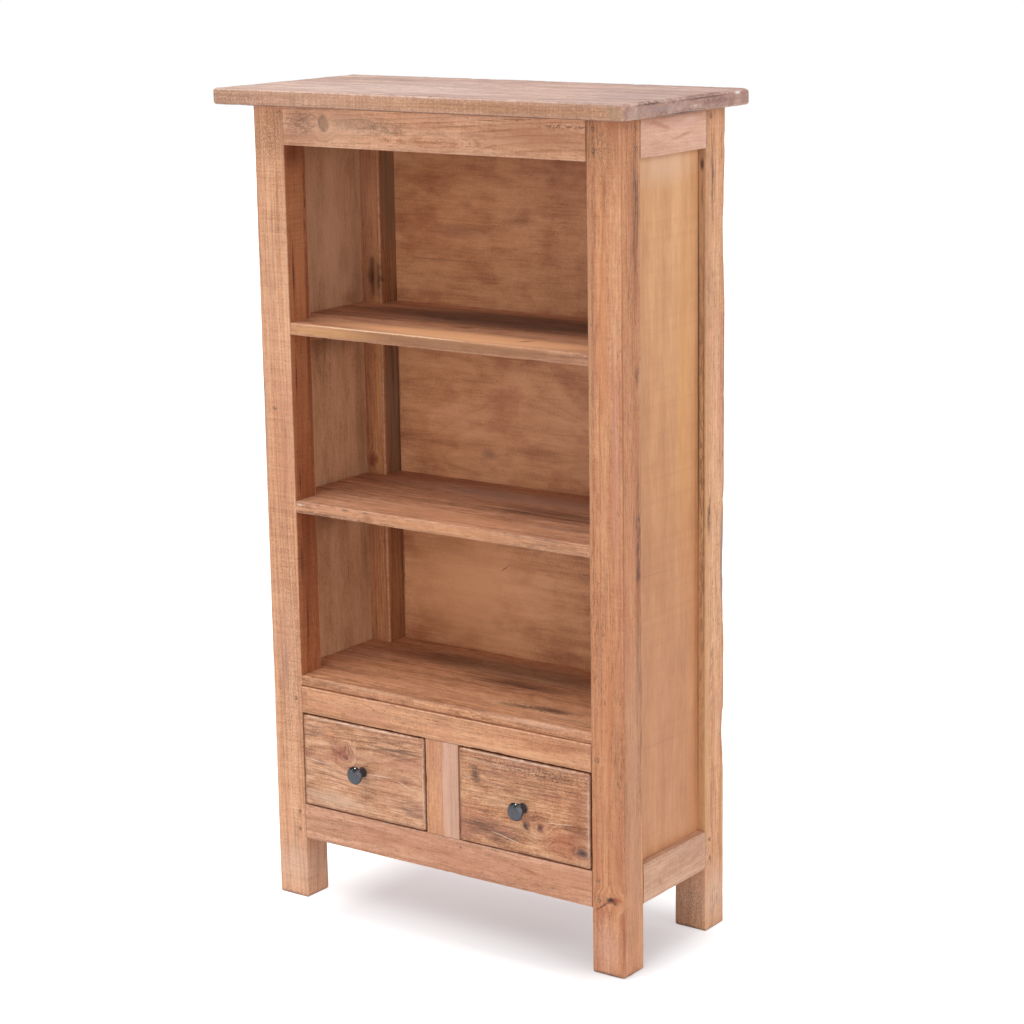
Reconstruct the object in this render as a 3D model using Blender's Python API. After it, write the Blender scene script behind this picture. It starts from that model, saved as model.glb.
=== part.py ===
# A rustic pine bookcase: four posts, tenoned rails, panels let into grooves, two shelves
# over a deck, and two inset drawers with iron knobs.
# Metres, +Z up. The front faces -Y and +X is the right-hand side seen from the front.
# The origin lies on the floor under the middle of the top board.

from math import radians

import bmesh
import bpy
from mathutils import Matrix, Vector

# Overall sizes
HEIGHT = 1.300
BODY_WIDTH = 0.670
BODY_DEPTH = 0.282

# Top board
TOP_THICK = 0.024
TOP_SIDE_OVERHANG = 0.040
TOP_FRONT_OVERHANG = 0.048
TOP_BACK_OVERHANG = 0.004

# Posts and rails
POST_WIDTH = 0.057
POST_DEPTH = 0.0525
RAIL_THICK = 0.022
FRONT_TOP_RAIL_HEIGHT = 0.062
SIDE_TOP_RAIL_HEIGHT = 0.060
BACK_TOP_RAIL_HEIGHT = 0.060
LEG_HEIGHT = 0.103
FRONT_BOTTOM_RAIL_HEIGHT = 0.057
SIDE_BOTTOM_RAIL_HEIGHT = 0.062
BACK_BOTTOM_RAIL_HEIGHT = 0.062
DRAWER_RAIL_HEIGHT = 0.043
CENTRE_STILE_WIDTH = 0.062

# Heights of the spaces, from the bottom upwards
DRAWER_OPENING_HEIGHT = 0.154
BOTTOM_BAY_HEIGHT = 0.265
MIDDLE_BAY_HEIGHT = 0.263

# Joinery
TENON_LENGTH = 0.030
TENON_THICK = 0.008
TENON_SHOULDER = 0.008
STILE_TENON_LENGTH = 0.015
MORTISE_END_SLACK = 0.0005
PEG_DIAMETER = 0.007
PEG_LENGTH = 0.024
PEG_PROUD = 0.0005
PEG_SETBACK = 0.011
PEG_SPACING = 0.030
GROOVE_DEPTH = 0.006

# Panels, shelves and deck
PANEL_THICK = 0.004
SIDE_PANEL_RECESS = 0.015
BACK_PANEL_RECESS = 0.007
SHELF_THICK = 0.019
DECK_THICK = 0.018
SHELF_SETBACK = 0.002
CLEAT_WIDTH = 0.020
CLEAT_HEIGHT = 0.022

# Drawer runners
RUNNER_WIDTH = 0.026
RUNNER_THICK = 0.020
GUIDE_HEIGHT = 0.014

# Drawers
DRAWER_GAP = 0.0025
DRAWER_PROUD = 0.002
DRAWER_FRONT_THICK = 0.020
DRAWER_SIDE_THICK = 0.012
DRAWER_SIDE_HEIGHT = 0.138
DRAWER_BACK_THICK = 0.012
DRAWER_BOTTOM_THICK = 0.005
DRAWER_BOTTOM_LIFT = 0.010
DRAWER_GROOVE_DEPTH = 0.005
DRAWER_RABBET_DEPTH = 0.010
DRAWER_STOP_GAP = 0.001

# Knobs and their screws
KNOB_DIAMETER = 0.028
KNOB_PROJECTION = 0.026
KNOB_CAP_THICK = 0.0075
KNOB_NECK_DIAMETER = 0.0155
KNOB_BASE_DIAMETER = 0.0175
KNOB_BASE_THICK = 0.0015
SCREW_DIAMETER = 0.004
SCREW_GRIP = 0.012
SCREW_HEAD_DIAMETER = 0.008
SCREW_HEAD_THICK = 0.0022

# Eased edges, and the gap between pieces that touch
POST_EASE = 0.0020
BOARD_EASE = 0.0012
DRAWER_FRONT_EASE = 0.0030
FIT = 0.0003

# Facets and bevel steps
ROUND_SIDES = 16
KNOB_SIDES = 24
POST_EASE_STEPS = 2
BOARD_EASE_STEPS = 1

# How far a cutter reaches past the face that it opens
CUT_OVERRUN = 0.001

# Each finish is a linear base colour, a roughness and a metallic value
FINISHES = {
    "pine": ((0.565, 0.283, 0.140), 0.62, 0.0),
    "weathered_pine": ((0.610, 0.400, 0.300), 0.68, 0.0),
    "shelf_pine": ((0.470, 0.220, 0.105), 0.60, 0.0),
    "plywood": ((0.600, 0.345, 0.180), 0.60, 0.0),
    "shaded_plywood": ((0.330, 0.140, 0.068), 0.62, 0.0),
    "raw_wood": ((0.520, 0.330, 0.190), 0.75, 0.0),
    "black_iron": ((0.035, 0.037, 0.043), 0.45, 0.9),
    "steel": ((0.420, 0.420, 0.430), 0.35, 1.0),
}

# Planes of the body across its width, depth and height
TOP_DEPTH = BODY_DEPTH + TOP_FRONT_OVERHANG + TOP_BACK_OVERHANG
SIDE = BODY_WIDTH / 2
POST_INNER = SIDE - POST_WIDTH
PANEL_OUTER = SIDE - SIDE_PANEL_RECESS
PANEL_INNER = PANEL_OUTER - PANEL_THICK
FRONT = TOP_FRONT_OVERHANG - TOP_DEPTH / 2
BACK = FRONT + BODY_DEPTH
FRONT_POST_BACK = FRONT + POST_DEPTH
BACK_POST_FRONT = BACK - POST_DEPTH
FRONT_RAIL_BACK = FRONT + RAIL_THICK
BACK_RAIL_FRONT = BACK - RAIL_THICK
BACK_PANEL_REAR = BACK - BACK_PANEL_RECESS
BACK_PANEL_FACE = BACK_PANEL_REAR - PANEL_THICK
FRAME_TOP = HEIGHT - TOP_THICK
OPENING_BOTTOM = LEG_HEIGHT + FRONT_BOTTOM_RAIL_HEIGHT
OPENING_TOP = OPENING_BOTTOM + DRAWER_OPENING_HEIGHT
DECK_BOTTOM = OPENING_TOP + DRAWER_RAIL_HEIGHT
DECK_TOP = DECK_BOTTOM + DECK_THICK
LOWER_SHELF_BOTTOM = DECK_TOP + BOTTOM_BAY_HEIGHT
LOWER_SHELF_TOP = LOWER_SHELF_BOTTOM + SHELF_THICK
UPPER_SHELF_BOTTOM = LOWER_SHELF_TOP + MIDDLE_BAY_HEIGHT
UPPER_SHELF_TOP = UPPER_SHELF_BOTTOM + SHELF_THICK

# Height limits of the rails that hold the panels
SIDE_BOTTOM_RAIL_TOP = LEG_HEIGHT + SIDE_BOTTOM_RAIL_HEIGHT
SIDE_TOP_RAIL_BOTTOM = FRAME_TOP - SIDE_TOP_RAIL_HEIGHT
BACK_BOTTOM_RAIL_TOP = LEG_HEIGHT + BACK_BOTTOM_RAIL_HEIGHT
BACK_TOP_RAIL_BOTTOM = FRAME_TOP - BACK_TOP_RAIL_HEIGHT
PANEL_ENTRY = GROOVE_DEPTH - FIT

# Axis numbers of a vector
X, Y, Z = range(3)
SIDES = (("left", -1), ("right", 1))
ENDS = (("front", -1), ("back", 1))


def clear_scene():
    for old in list(bpy.data.objects):
        bpy.data.objects.remove(old, do_unlink=True)


# A box is its lowest and its highest corner, from one pair of limits per axis
def box(x_limits, y_limits, z_limits):
    spans = [sorted(limits) for limits in (x_limits, y_limits, z_limits)]
    return Vector([span[0] for span in spans]), Vector([span[1] for span in spans])


def grown(limits, margin):
    step = Vector((margin, margin, margin))
    return limits[0] - step, limits[1] + step


def make_material(name, finish):
    colour, roughness, metallic = FINISHES[finish]
    material = bpy.data.materials.new(name)
    material.use_nodes = True
    shader = material.node_tree.nodes["Principled BSDF"]
    shader.inputs["Base Color"].default_value = (*colour, 1.0)
    shader.inputs["Roughness"].default_value = roughness
    shader.inputs["Metallic"].default_value = metallic
    material.diffuse_color = (*colour, 1.0)
    return material


def world_place(item):
    base = item.parent.location if item.parent else Vector((0, 0, 0))
    return base + item.location


# Hangs an object, with its own material, at a place given in world coordinates
def add_object(name, form, place, finish, parent=None):
    mesh = bpy.data.meshes.new(name)
    form.to_mesh(mesh)
    form.free()
    item = bpy.data.objects.new(name, mesh)
    bpy.context.scene.collection.objects.link(item)
    item.parent = parent
    item.location = Vector(place) - (parent.location if parent else Vector((0, 0, 0)))
    if finish:
        mesh.materials.append(make_material(name, finish))
    return item


def add_block(form, limits, place):
    middle = (limits[0] + limits[1]) / 2
    size = limits[1] - limits[0]
    matrix = Matrix.Translation(middle - place) @ Matrix.Diagonal((*size, 1.0))
    return bmesh.ops.create_cube(form, size=1.0, matrix=matrix)["verts"]


def ease_edges(item, width, steps, by_weight=False):
    bevel = item.modifiers.new("eased edges", "BEVEL")
    bevel.width = width
    bevel.segments = steps
    bevel.limit_method = "WEIGHT" if by_weight else "ANGLE"
    return bevel


def make_board(name, limits, finish, ease=BOARD_EASE, steps=BOARD_EASE_STEPS, parent=None):
    place = (limits[0] + limits[1]) / 2
    form = bmesh.new()
    add_block(form, limits, place)
    item = add_object(name, form, place, finish, parent)
    ease_edges(item, ease, steps)
    return item


# Subtracts a cutter's shape from a piece
def subtract(item, form, label):
    cutter = add_object(f"{item.name}_{label}", form, world_place(item), None)
    cutter.location = Vector((0, 0, 0))
    cutter.parent = item
    cutter.hide_render = True
    cutter.display_type = "WIRE"
    cut = item.modifiers.new(label, "BOOLEAN")
    cut.operation = "DIFFERENCE"
    cut.object = cutter


def cut_boxes(item, boxes, label):
    form = bmesh.new()
    for limits in boxes:
        add_block(form, limits, world_place(item))
    subtract(item, form, label)


# Turns the +Z axis of a round piece towards the axis and direction given
def facing(axis, sign):
    direction = Vector((0, 0, 0))
    direction[axis] = sign
    return direction.to_track_quat("Z", "Y").to_matrix().to_4x4()


# A round hole is its start, its axis, its direction along that axis, its length and its radius
def cut_holes(item, holes, label):
    form = bmesh.new()
    for start, axis, sign, length, radius in holes:
        middle = Vector(start) - world_place(item)
        middle[axis] += sign * length / 2
        bmesh.ops.create_cone(
            form, cap_ends=True, segments=ROUND_SIDES, radius1=radius, radius2=radius,
            depth=length, matrix=Matrix.Translation(middle) @ facing(axis, sign))
    subtract(item, form, label)


# A turned piece, from a profile of (radius, distance along its axis) that starts and ends on the axis
def make_turned(name, profile, start, axis, sign, finish, sides, parent=None):
    form = bmesh.new()
    points = [form.verts.new((radius, 0, distance)) for radius, distance in profile]
    edges = [form.edges.new(pair) for pair in zip(points, points[1:])]
    bmesh.ops.spin(
        form, geom=points + edges, cent=(0, 0, 0), axis=(0, 0, 1), angle=radians(360),
        steps=sides, use_merge=True)
    bmesh.ops.remove_doubles(form, verts=form.verts, dist=1e-6)
    bmesh.ops.recalc_face_normals(form, faces=form.faces)
    bmesh.ops.transform(form, matrix=facing(axis, sign), verts=form.verts)
    item = add_object(name, form, start, finish, parent)
    item.data.shade_smooth()
    item.data.set_sharp_from_angle(angle=radians(35))
    return item


# A rail is a board with a tenon at each end, along its run; thick is the axis of its thickness
class Rail:
    def __init__(self, name, limits, run, thick, tenon_length=TENON_LENGTH):
        self.name = name
        self.limits = limits
        self.run = run
        self.thick = thick
        self.wide = 3 - run - thick
        self.tenon_length = tenon_length
        self.middle = (limits[0] + limits[1]) / 2

    # The tenon at the low end (sign -1) or at the high end (sign 1)
    def tenon(self, sign):
        low, high = self.limits[0].copy(), self.limits[1].copy()
        shoulder = low[self.run] if sign < 0 else high[self.run]
        low[self.run], high[self.run] = sorted((shoulder, shoulder + sign * self.tenon_length))
        low[self.thick] = self.middle[self.thick] - TENON_THICK / 2
        high[self.thick] = self.middle[self.thick] + TENON_THICK / 2
        low[self.wide] += TENON_SHOULDER
        high[self.wide] -= TENON_SHOULDER
        return low, high

    # The mortise that takes this tenon, open towards the rail
    def mortise(self, sign):
        low, high = grown(self.tenon(sign), FIT)
        if sign < 0:
            low[self.run] -= MORTISE_END_SLACK
            high[self.run] += CUT_OVERRUN
        else:
            low[self.run] -= CUT_OVERRUN
            high[self.run] += MORTISE_END_SLACK
        return low, high

    def build(self, finish):
        form = bmesh.new()
        add_block(form, self.limits, self.middle)
        weight = form.edges.layers.float.new("bevel_weight_edge")
        for edge in form.edges:
            direction = edge.verts[1].co - edge.verts[0].co
            if abs(direction[self.run]) > max(abs(direction[self.thick]), abs(direction[self.wide])):
                edge[weight] = 1.0
        for sign in (-1, 1):
            self.add_tenon(form, sign)
        item = add_object(self.name, form, self.middle, finish)
        ease_edges(item, BOARD_EASE, BOARD_EASE_STEPS, by_weight=True)
        return item

    def add_tenon(self, form, sign):
        form.faces.ensure_lookup_table()
        end = max(form.faces, key=lambda face: sign * face.calc_center_median()[self.run])
        low, high = self.tenon(sign)
        root = bmesh.ops.extrude_discrete_faces(form, faces=[end])["faces"][0]
        for vert in root.verts:
            for axis in (self.thick, self.wide):
                limit = low[axis] if vert.co[axis] < 0 else high[axis]
                vert.co[axis] = limit - self.middle[axis]
        tip = bmesh.ops.extrude_discrete_faces(form, faces=[root])["faces"][0]
        for vert in tip.verts:
            vert.co[self.run] += sign * self.tenon_length


# Rails of the frame, before their own mortises and grooves are cut
def plan_rails():
    across = (FIT - POST_INNER, POST_INNER - FIT)
    along = (FRONT_POST_BACK + FIT, BACK_POST_FRONT - FIT)
    front = (FRONT, FRONT_RAIL_BACK)
    back = (BACK_RAIL_FRONT, BACK)
    rails = {
        "front_top_rail": Rail(
            "front_top_rail", box(across, front, (FRAME_TOP - FRONT_TOP_RAIL_HEIGHT, FRAME_TOP)), X, Y),
        "front_drawer_rail": Rail(
            "front_drawer_rail", box(across, front, (OPENING_TOP, DECK_BOTTOM)), X, Y),
        "front_bottom_rail": Rail(
            "front_bottom_rail", box(across, front, (LEG_HEIGHT, OPENING_BOTTOM)), X, Y),
        "back_top_rail": Rail(
            "back_top_rail", box(across, back, (BACK_TOP_RAIL_BOTTOM, FRAME_TOP)), X, Y),
        "back_bottom_rail": Rail(
            "back_bottom_rail", box(across, back, (LEG_HEIGHT, BACK_BOTTOM_RAIL_TOP)), X, Y),
    }
    for side, sign in SIDES:
        width = (sign * (SIDE - RAIL_THICK), sign * SIDE)
        rails[f"{side}_top_rail"] = Rail(
            f"{side}_top_rail", box(width, along, (SIDE_TOP_RAIL_BOTTOM, FRAME_TOP)), Y, X)
        rails[f"{side}_bottom_rail"] = Rail(
            f"{side}_bottom_rail", box(width, along, (LEG_HEIGHT, SIDE_BOTTOM_RAIL_TOP)), Y, X)
    return rails


# The stile between the drawers, tenoned upright into the drawer rail and the bottom rail
def plan_stile():
    limits = box(
        (-CENTRE_STILE_WIDTH / 2, CENTRE_STILE_WIDTH / 2), (FRONT, FRONT_RAIL_BACK),
        (OPENING_BOTTOM + FIT, OPENING_TOP - FIT))
    return Rail("centre_stile", limits, Z, Y, STILE_TENON_LENGTH)


# Grooves for the side panel and the back panel
def side_panel_limits(sign, margin):
    return (sign * (PANEL_INNER - margin), sign * (PANEL_OUTER + margin))


def post_groove_boxes(end, sign):
    mouth = FRONT_POST_BACK if end == "front" else BACK_POST_FRONT
    inward = -1 if end == "front" else 1
    depth_limits = (mouth - inward * CUT_OVERRUN, mouth + inward * GROOVE_DEPTH)
    height_limits = (SIDE_BOTTOM_RAIL_TOP - GROOVE_DEPTH, SIDE_TOP_RAIL_BOTTOM + GROOVE_DEPTH)
    grooves = [box(side_panel_limits(sign, FIT), depth_limits, height_limits)]
    if end == "back":
        grooves.append(box(
            (sign * (POST_INNER - CUT_OVERRUN), sign * (POST_INNER + GROOVE_DEPTH)),
            (BACK_PANEL_FACE - FIT, BACK_PANEL_REAR + FIT),
            (BACK_BOTTOM_RAIL_TOP - GROOVE_DEPTH, BACK_TOP_RAIL_BOTTOM + GROOVE_DEPTH)))
    return grooves


# The height limits of a rail's panel groove, on its upper edge or its lower edge
def rail_groove_heights(rail):
    if "bottom" in rail.name:
        edge = rail.limits[1].z
        return (edge - GROOVE_DEPTH, edge + CUT_OVERRUN)
    edge = rail.limits[0].z
    return (edge - CUT_OVERRUN, edge + GROOVE_DEPTH)


# The peg of a joint enters the outer face of the post and crosses the tenon
def peg_start(rail, end_sign, row):
    start = rail.middle.copy()
    shoulder = rail.limits[0][rail.run] if end_sign < 0 else rail.limits[1][rail.run]
    start[rail.run] = shoulder + end_sign * (FIT + PEG_SETBACK)
    start[Z] += row * PEG_SPACING / 2
    if rail.thick == Y:
        start[Y] = FRONT
        return start, Y, 1
    outward = 1 if rail.middle.x > 0 else -1
    start[X] = outward * SIDE
    return start, X, -outward


# Each pegged joint: name, rail, end of the rail and row of the peg above the rail's middle
def plan_pegs(rails):
    pegs = []
    for side, sign in SIDES:
        for level, row in (("top", 1), ("drawer", 0), ("bottom", 1)):
            rail = rails[f"front_{level}_rail"]
            pegs.append((f"front_{side}_{level}_peg", rail, sign, row))
        for end, end_sign in ENDS:
            for level in ("top", "bottom"):
                rail = rails[f"{side}_{level}_rail"]
                pegs.append((f"{side}_{end}_{level}_peg", rail, end_sign, 1))
    return pegs


def peg_hole(rail, end_sign, row):
    start, axis, sign = peg_start(rail, end_sign, row)
    start[axis] -= sign * CUT_OVERRUN
    length = CUT_OVERRUN + PEG_LENGTH - PEG_PROUD + FIT
    return start, axis, sign, length, PEG_DIAMETER / 2 + FIT


def make_posts(rails, pegs):
    for side, sign in SIDES:
        for end, end_sign in ENDS:
            depth = (FRONT, FRONT_POST_BACK) if end == "front" else (BACK_POST_FRONT, BACK)
            limits = box((sign * POST_INNER, sign * SIDE), depth, (0, FRAME_TOP))
            post = make_board(f"{end}_{side}_post", limits, "pine", POST_EASE, POST_EASE_STEPS)
            across = [rail for rail in rails.values() if rail.name.startswith(end)]
            along = [rail for rail in rails.values() if rail.name.startswith(side)]
            cuts = [rail.mortise(sign) for rail in across]
            cuts += [rail.mortise(end_sign) for rail in along]
            cuts += post_groove_boxes(end, sign)
            cut_boxes(post, cuts, "mortises_and_grooves")
            holes = []
            for name, rail, peg_end, row in pegs:
                in_front_rail = end == "front" and rail in across and peg_end == sign
                in_side_rail = rail in along and peg_end == end_sign
                if in_front_rail or in_side_rail:
                    holes.append(peg_hole(rail, peg_end, row))
            cut_holes(post, holes, "peg_holes")


def make_rails(rails, stile, pegs):
    for rail in rails.values():
        item = rail.build("pine")
        cuts = []
        if rail.name.startswith("back"):
            depth = (BACK_PANEL_FACE - FIT, BACK_PANEL_REAR + FIT)
            width = (-POST_INNER, POST_INNER)
            cuts.append(box(width, depth, rail_groove_heights(rail)))
        if rail.thick == X:
            sign = 1 if rail.middle.x > 0 else -1
            depth = (FRONT_POST_BACK, BACK_POST_FRONT)
            cuts.append(box(side_panel_limits(sign, FIT), depth, rail_groove_heights(rail)))
        if rail.name == "front_drawer_rail":
            cuts.append(stile.mortise(1))
        if rail.name == "front_bottom_rail":
            cuts.append(stile.mortise(-1))
        if cuts:
            cut_boxes(item, cuts, "grooves")
        holes = [peg_hole(rail, end, row) for name, pegged, end, row in pegs if pegged is rail]
        if holes:
            cut_holes(item, holes, "peg_holes")
    stile.build("pine")


def make_pegs(pegs):
    radius = PEG_DIAMETER / 2
    crown = radius / 4
    profile = [
        (0, 0), (radius - crown, 0), (radius, crown), (radius, PEG_LENGTH - crown),
        (radius - crown, PEG_LENGTH), (0, PEG_LENGTH)]
    for name, rail, end_sign, row in pegs:
        start, axis, sign = peg_start(rail, end_sign, row)
        start[axis] -= sign * PEG_PROUD
        make_turned(name, profile, start, axis, sign, "raw_wood", ROUND_SIDES)


def make_top():
    limits = box(
        (-SIDE - TOP_SIDE_OVERHANG, SIDE + TOP_SIDE_OVERHANG),
        (FRONT - TOP_FRONT_OVERHANG, BACK + TOP_BACK_OVERHANG), (FRAME_TOP + FIT, HEIGHT))
    make_board("top_board", limits, "weathered_pine", POST_EASE, POST_EASE_STEPS)


def make_panels():
    for side, sign in SIDES:
        limits = box(
            side_panel_limits(sign, 0),
            (FRONT_POST_BACK - PANEL_ENTRY, BACK_POST_FRONT + PANEL_ENTRY),
            (SIDE_BOTTOM_RAIL_TOP - PANEL_ENTRY, SIDE_TOP_RAIL_BOTTOM + PANEL_ENTRY))
        make_board(f"{side}_side_panel", limits, "plywood", ease=PANEL_THICK / 10)
    limits = box(
        (-POST_INNER - PANEL_ENTRY, POST_INNER + PANEL_ENTRY), (BACK_PANEL_FACE, BACK_PANEL_REAR),
        (BACK_BOTTOM_RAIL_TOP - PANEL_ENTRY, BACK_TOP_RAIL_BOTTOM + PANEL_ENTRY))
    make_board("back_panel", limits, "shaded_plywood", ease=PANEL_THICK / 10)


# A shelf is notched round the four posts and reaches the side panels and the back panel
def make_shelf(name, bottom, thick):
    narrow = POST_INNER - FIT
    wide = PANEL_INNER - FIT
    depths = (
        FRONT + SHELF_SETBACK, FRONT_POST_BACK + FIT, BACK_POST_FRONT - FIT, BACK_PANEL_FACE - FIT)
    right = [
        (narrow, depths[0]), (narrow, depths[1]), (wide, depths[1]),
        (wide, depths[2]), (narrow, depths[2]), (narrow, depths[3])]
    outline = right + [(-x, y) for x, y in reversed(right)]
    form = bmesh.new()
    weight = form.edges.layers.float.new("bevel_weight_edge")
    face = form.faces.new([form.verts.new((x, y, 0)) for x, y in outline])
    raised = bmesh.ops.extrude_face_region(form, geom=[face])["geom"]
    for vert in [part for part in raised if isinstance(part, bmesh.types.BMVert)]:
        vert.co.z += thick
    bmesh.ops.recalc_face_normals(form, faces=form.faces)
    for edge in form.edges:
        if all(abs(vert.co.y - depths[0]) < FIT for vert in edge.verts):
            edge[weight] = 1.0
    item = add_object(name, form, (0, 0, bottom), "shelf_pine")
    ease_edges(item, BOARD_EASE, BOARD_EASE_STEPS, by_weight=True)


def make_shelves():
    make_shelf("upper_shelf", UPPER_SHELF_BOTTOM, SHELF_THICK)
    make_shelf("lower_shelf", LOWER_SHELF_BOTTOM, SHELF_THICK)
    make_shelf("deck_board", DECK_BOTTOM + FIT, DECK_THICK - FIT)


# Cleats carry the shelves between the posts; the deck's cleats also keep the drawers from tipping
def make_cleats():
    for side, sign in SIDES:
        outer = PANEL_INNER - FIT
        width = (sign * (outer - CLEAT_WIDTH), sign * outer)
        depth = (FRONT_POST_BACK + FIT, BACK_POST_FRONT - FIT)
        for level, bottom in (("upper", UPPER_SHELF_BOTTOM), ("lower", LOWER_SHELF_BOTTOM)):
            height = (bottom - FIT - CLEAT_HEIGHT, bottom - FIT)
            make_board(f"{level}_{side}_cleat", box(width, depth, height), "shelf_pine")
        inner = POST_INNER - FIT
        width = (sign * (inner - CLEAT_WIDTH), sign * inner)
        depth = (FRONT_RAIL_BACK + FIT, BACK_PANEL_FACE - FIT)
        make_board(f"deck_{side}_cleat", box(width, depth, (OPENING_TOP, DECK_BOTTOM)), "raw_wood")


def make_runners():
    depth = (FRONT_RAIL_BACK + FIT, BACK_RAIL_FRONT - FIT)
    height = (OPENING_BOTTOM - RUNNER_THICK, OPENING_BOTTOM)
    for side, sign in SIDES:
        outer = POST_INNER - FIT
        width = (sign * (outer - RUNNER_WIDTH), sign * outer)
        make_board(f"{side}_runner", box(width, depth, height), "raw_wood")
    half = CENTRE_STILE_WIDTH / 2
    make_board("centre_runner", box((-half - RUNNER_WIDTH, half + RUNNER_WIDTH), depth, height), "raw_wood")
    height = (OPENING_BOTTOM + FIT, OPENING_BOTTOM + FIT + GUIDE_HEIGHT)
    make_board("centre_guide", box((-half, half), depth, height), "raw_wood")


# A drawer hangs on an empty that stands on the runners, in line with its slide
def make_drawer(side, sign):
    inner = CENTRE_STILE_WIDTH / 2 + DRAWER_GAP
    outer = POST_INNER - DRAWER_GAP
    centre = sign * (inner + outer) / 2
    face = FRONT - DRAWER_PROUD
    front_back = face + DRAWER_FRONT_THICK
    rear = BACK_RAIL_FRONT - FIT - DRAWER_STOP_GAP
    floor = OPENING_BOTTOM + FIT
    bottom = floor + DRAWER_BOTTOM_LIFT
    slide = bpy.data.objects.new(f"{side}_drawer_slide", None)
    slide.location = (centre, face, floor)
    bpy.context.scene.collection.objects.link(slide)

    width = (sign * inner, sign * outer)
    front_height = (OPENING_BOTTOM + DRAWER_GAP, OPENING_TOP - DRAWER_GAP)
    front = make_board(
        f"{side}_drawer_front", box(width, (face, front_back), front_height), "pine",
        DRAWER_FRONT_EASE, POST_EASE_STEPS, slide)
    rabbet = (front_back - DRAWER_RABBET_DEPTH, front_back + CUT_OVERRUN)
    tall = (OPENING_BOTTOM, OPENING_TOP)
    inner_lap = inner + DRAWER_SIDE_THICK + FIT
    outer_lap = outer - DRAWER_SIDE_THICK - FIT
    cut_boxes(front, [
        box((sign * (inner - CUT_OVERRUN), sign * inner_lap), rabbet, tall),
        box((sign * outer_lap, sign * (outer + CUT_OVERRUN)), rabbet, tall),
    ], "rabbets")
    groove_height = (bottom - FIT, bottom + DRAWER_BOTTOM_THICK + FIT)
    groove = (front_back - DRAWER_GROOVE_DEPTH, front_back + CUT_OVERRUN)
    cut_boxes(front, [box(width, groove, groove_height)], "bottom_groove")

    side_depth = (front_back - DRAWER_RABBET_DEPTH + FIT, rear)
    side_height = (floor, floor + DRAWER_SIDE_HEIGHT)
    for label, wall, inward in (("inner", inner, 1), ("outer", outer, -1)):
        wall_inner = wall + inward * DRAWER_SIDE_THICK
        board = make_board(
            f"{side}_drawer_{label}_side", box((sign * wall, sign * wall_inner), side_depth, side_height),
            "raw_wood", parent=slide)
        slot_floor = wall_inner - inward * DRAWER_GROOVE_DEPTH
        slot = (sign * slot_floor, sign * (wall_inner + inward * CUT_OVERRUN))
        length = (side_depth[0] - CUT_OVERRUN, rear + CUT_OVERRUN)
        cut_boxes(board, [box(slot, length, groove_height)], "bottom_groove")

    entry = DRAWER_GROOVE_DEPTH - FIT
    inner_wall = inner + DRAWER_SIDE_THICK
    outer_wall = outer - DRAWER_SIDE_THICK
    make_board(
        f"{side}_drawer_bottom", box(
            (sign * (inner_wall - entry), sign * (outer_wall + entry)),
            (front_back - entry, rear), (bottom, bottom + DRAWER_BOTTOM_THICK)),
        "plywood", ease=DRAWER_BOTTOM_THICK / 10, parent=slide)
    make_board(
        f"{side}_drawer_back", box(
            (sign * (inner_wall + FIT), sign * (outer_wall - FIT)), (rear - DRAWER_BACK_THICK, rear),
            (bottom + DRAWER_BOTTOM_THICK + FIT, floor + DRAWER_SIDE_HEIGHT)),
        "raw_wood", parent=slide)

    knob_height = (OPENING_BOTTOM + OPENING_TOP) / 2
    hole_radius = SCREW_DIAMETER / 2 + FIT
    hole_length = DRAWER_FRONT_THICK + 2 * CUT_OVERRUN
    hole_start = Vector((centre, front_back + CUT_OVERRUN, knob_height))
    cut_holes(front, [(hole_start, Y, -1, hole_length, hole_radius)], "screw_hole")
    make_knob(f"{side}_knob", Vector((centre, face - FIT, knob_height)), slide)
    make_screw(f"{side}_knob_screw", Vector((centre, front_back + FIT, knob_height)), slide)


# A mushroom knob: a shallow crowned cap on a thick neck with a flared base.
# Its profile pairs each radius with the distance from the drawer front.
def make_knob(name, start, parent):
    cap = KNOB_DIAMETER / 2
    neck = KNOB_NECK_DIAMETER / 2
    base = KNOB_BASE_DIAMETER / 2
    bore = SCREW_DIAMETER / 2 + FIT
    bore_depth = SCREW_GRIP + FIT
    cap_back = KNOB_PROJECTION - KNOB_CAP_THICK
    flare = base - neck
    profile = [
        (0, bore_depth), (bore, bore_depth), (bore, 0), (base, 0), (base, KNOB_BASE_THICK),
        (neck + flare * 0.45, KNOB_BASE_THICK + flare * 0.35),
        (neck + flare * 0.12, KNOB_BASE_THICK + flare * 0.95),
        (neck, KNOB_BASE_THICK + flare * 1.7),
        (neck + flare * 0.15, cap_back - flare * 0.6),
        (neck + flare * 0.7, cap_back),
        (cap * 0.93, cap_back + KNOB_CAP_THICK * 0.18),
        (cap, cap_back + KNOB_CAP_THICK * 0.45),
        (cap * 0.96, cap_back + KNOB_CAP_THICK * 0.72),
        (cap * 0.8, cap_back + KNOB_CAP_THICK * 0.9),
        (cap * 0.4, KNOB_PROJECTION - KNOB_CAP_THICK * 0.02),
        (0, KNOB_PROJECTION)]
    make_turned(name, profile, start, Y, -1, "black_iron", KNOB_SIDES, parent)


# The screw comes from inside the drawer; its head bears on the back of the front board
def make_screw(name, start, parent):
    shank = SCREW_DIAMETER / 2
    head = SCREW_HEAD_DIAMETER / 2
    length = FIT + DRAWER_FRONT_THICK + FIT + SCREW_GRIP - FIT
    profile = [
        (0, -SCREW_HEAD_THICK), (head * 0.6, -SCREW_HEAD_THICK), (head, -SCREW_HEAD_THICK * 0.3),
        (head, 0), (shank, 0), (shank, length - shank), (shank * 0.4, length), (0, length)]
    make_turned(name, profile, start, Y, -1, "steel", ROUND_SIDES, parent)


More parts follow.
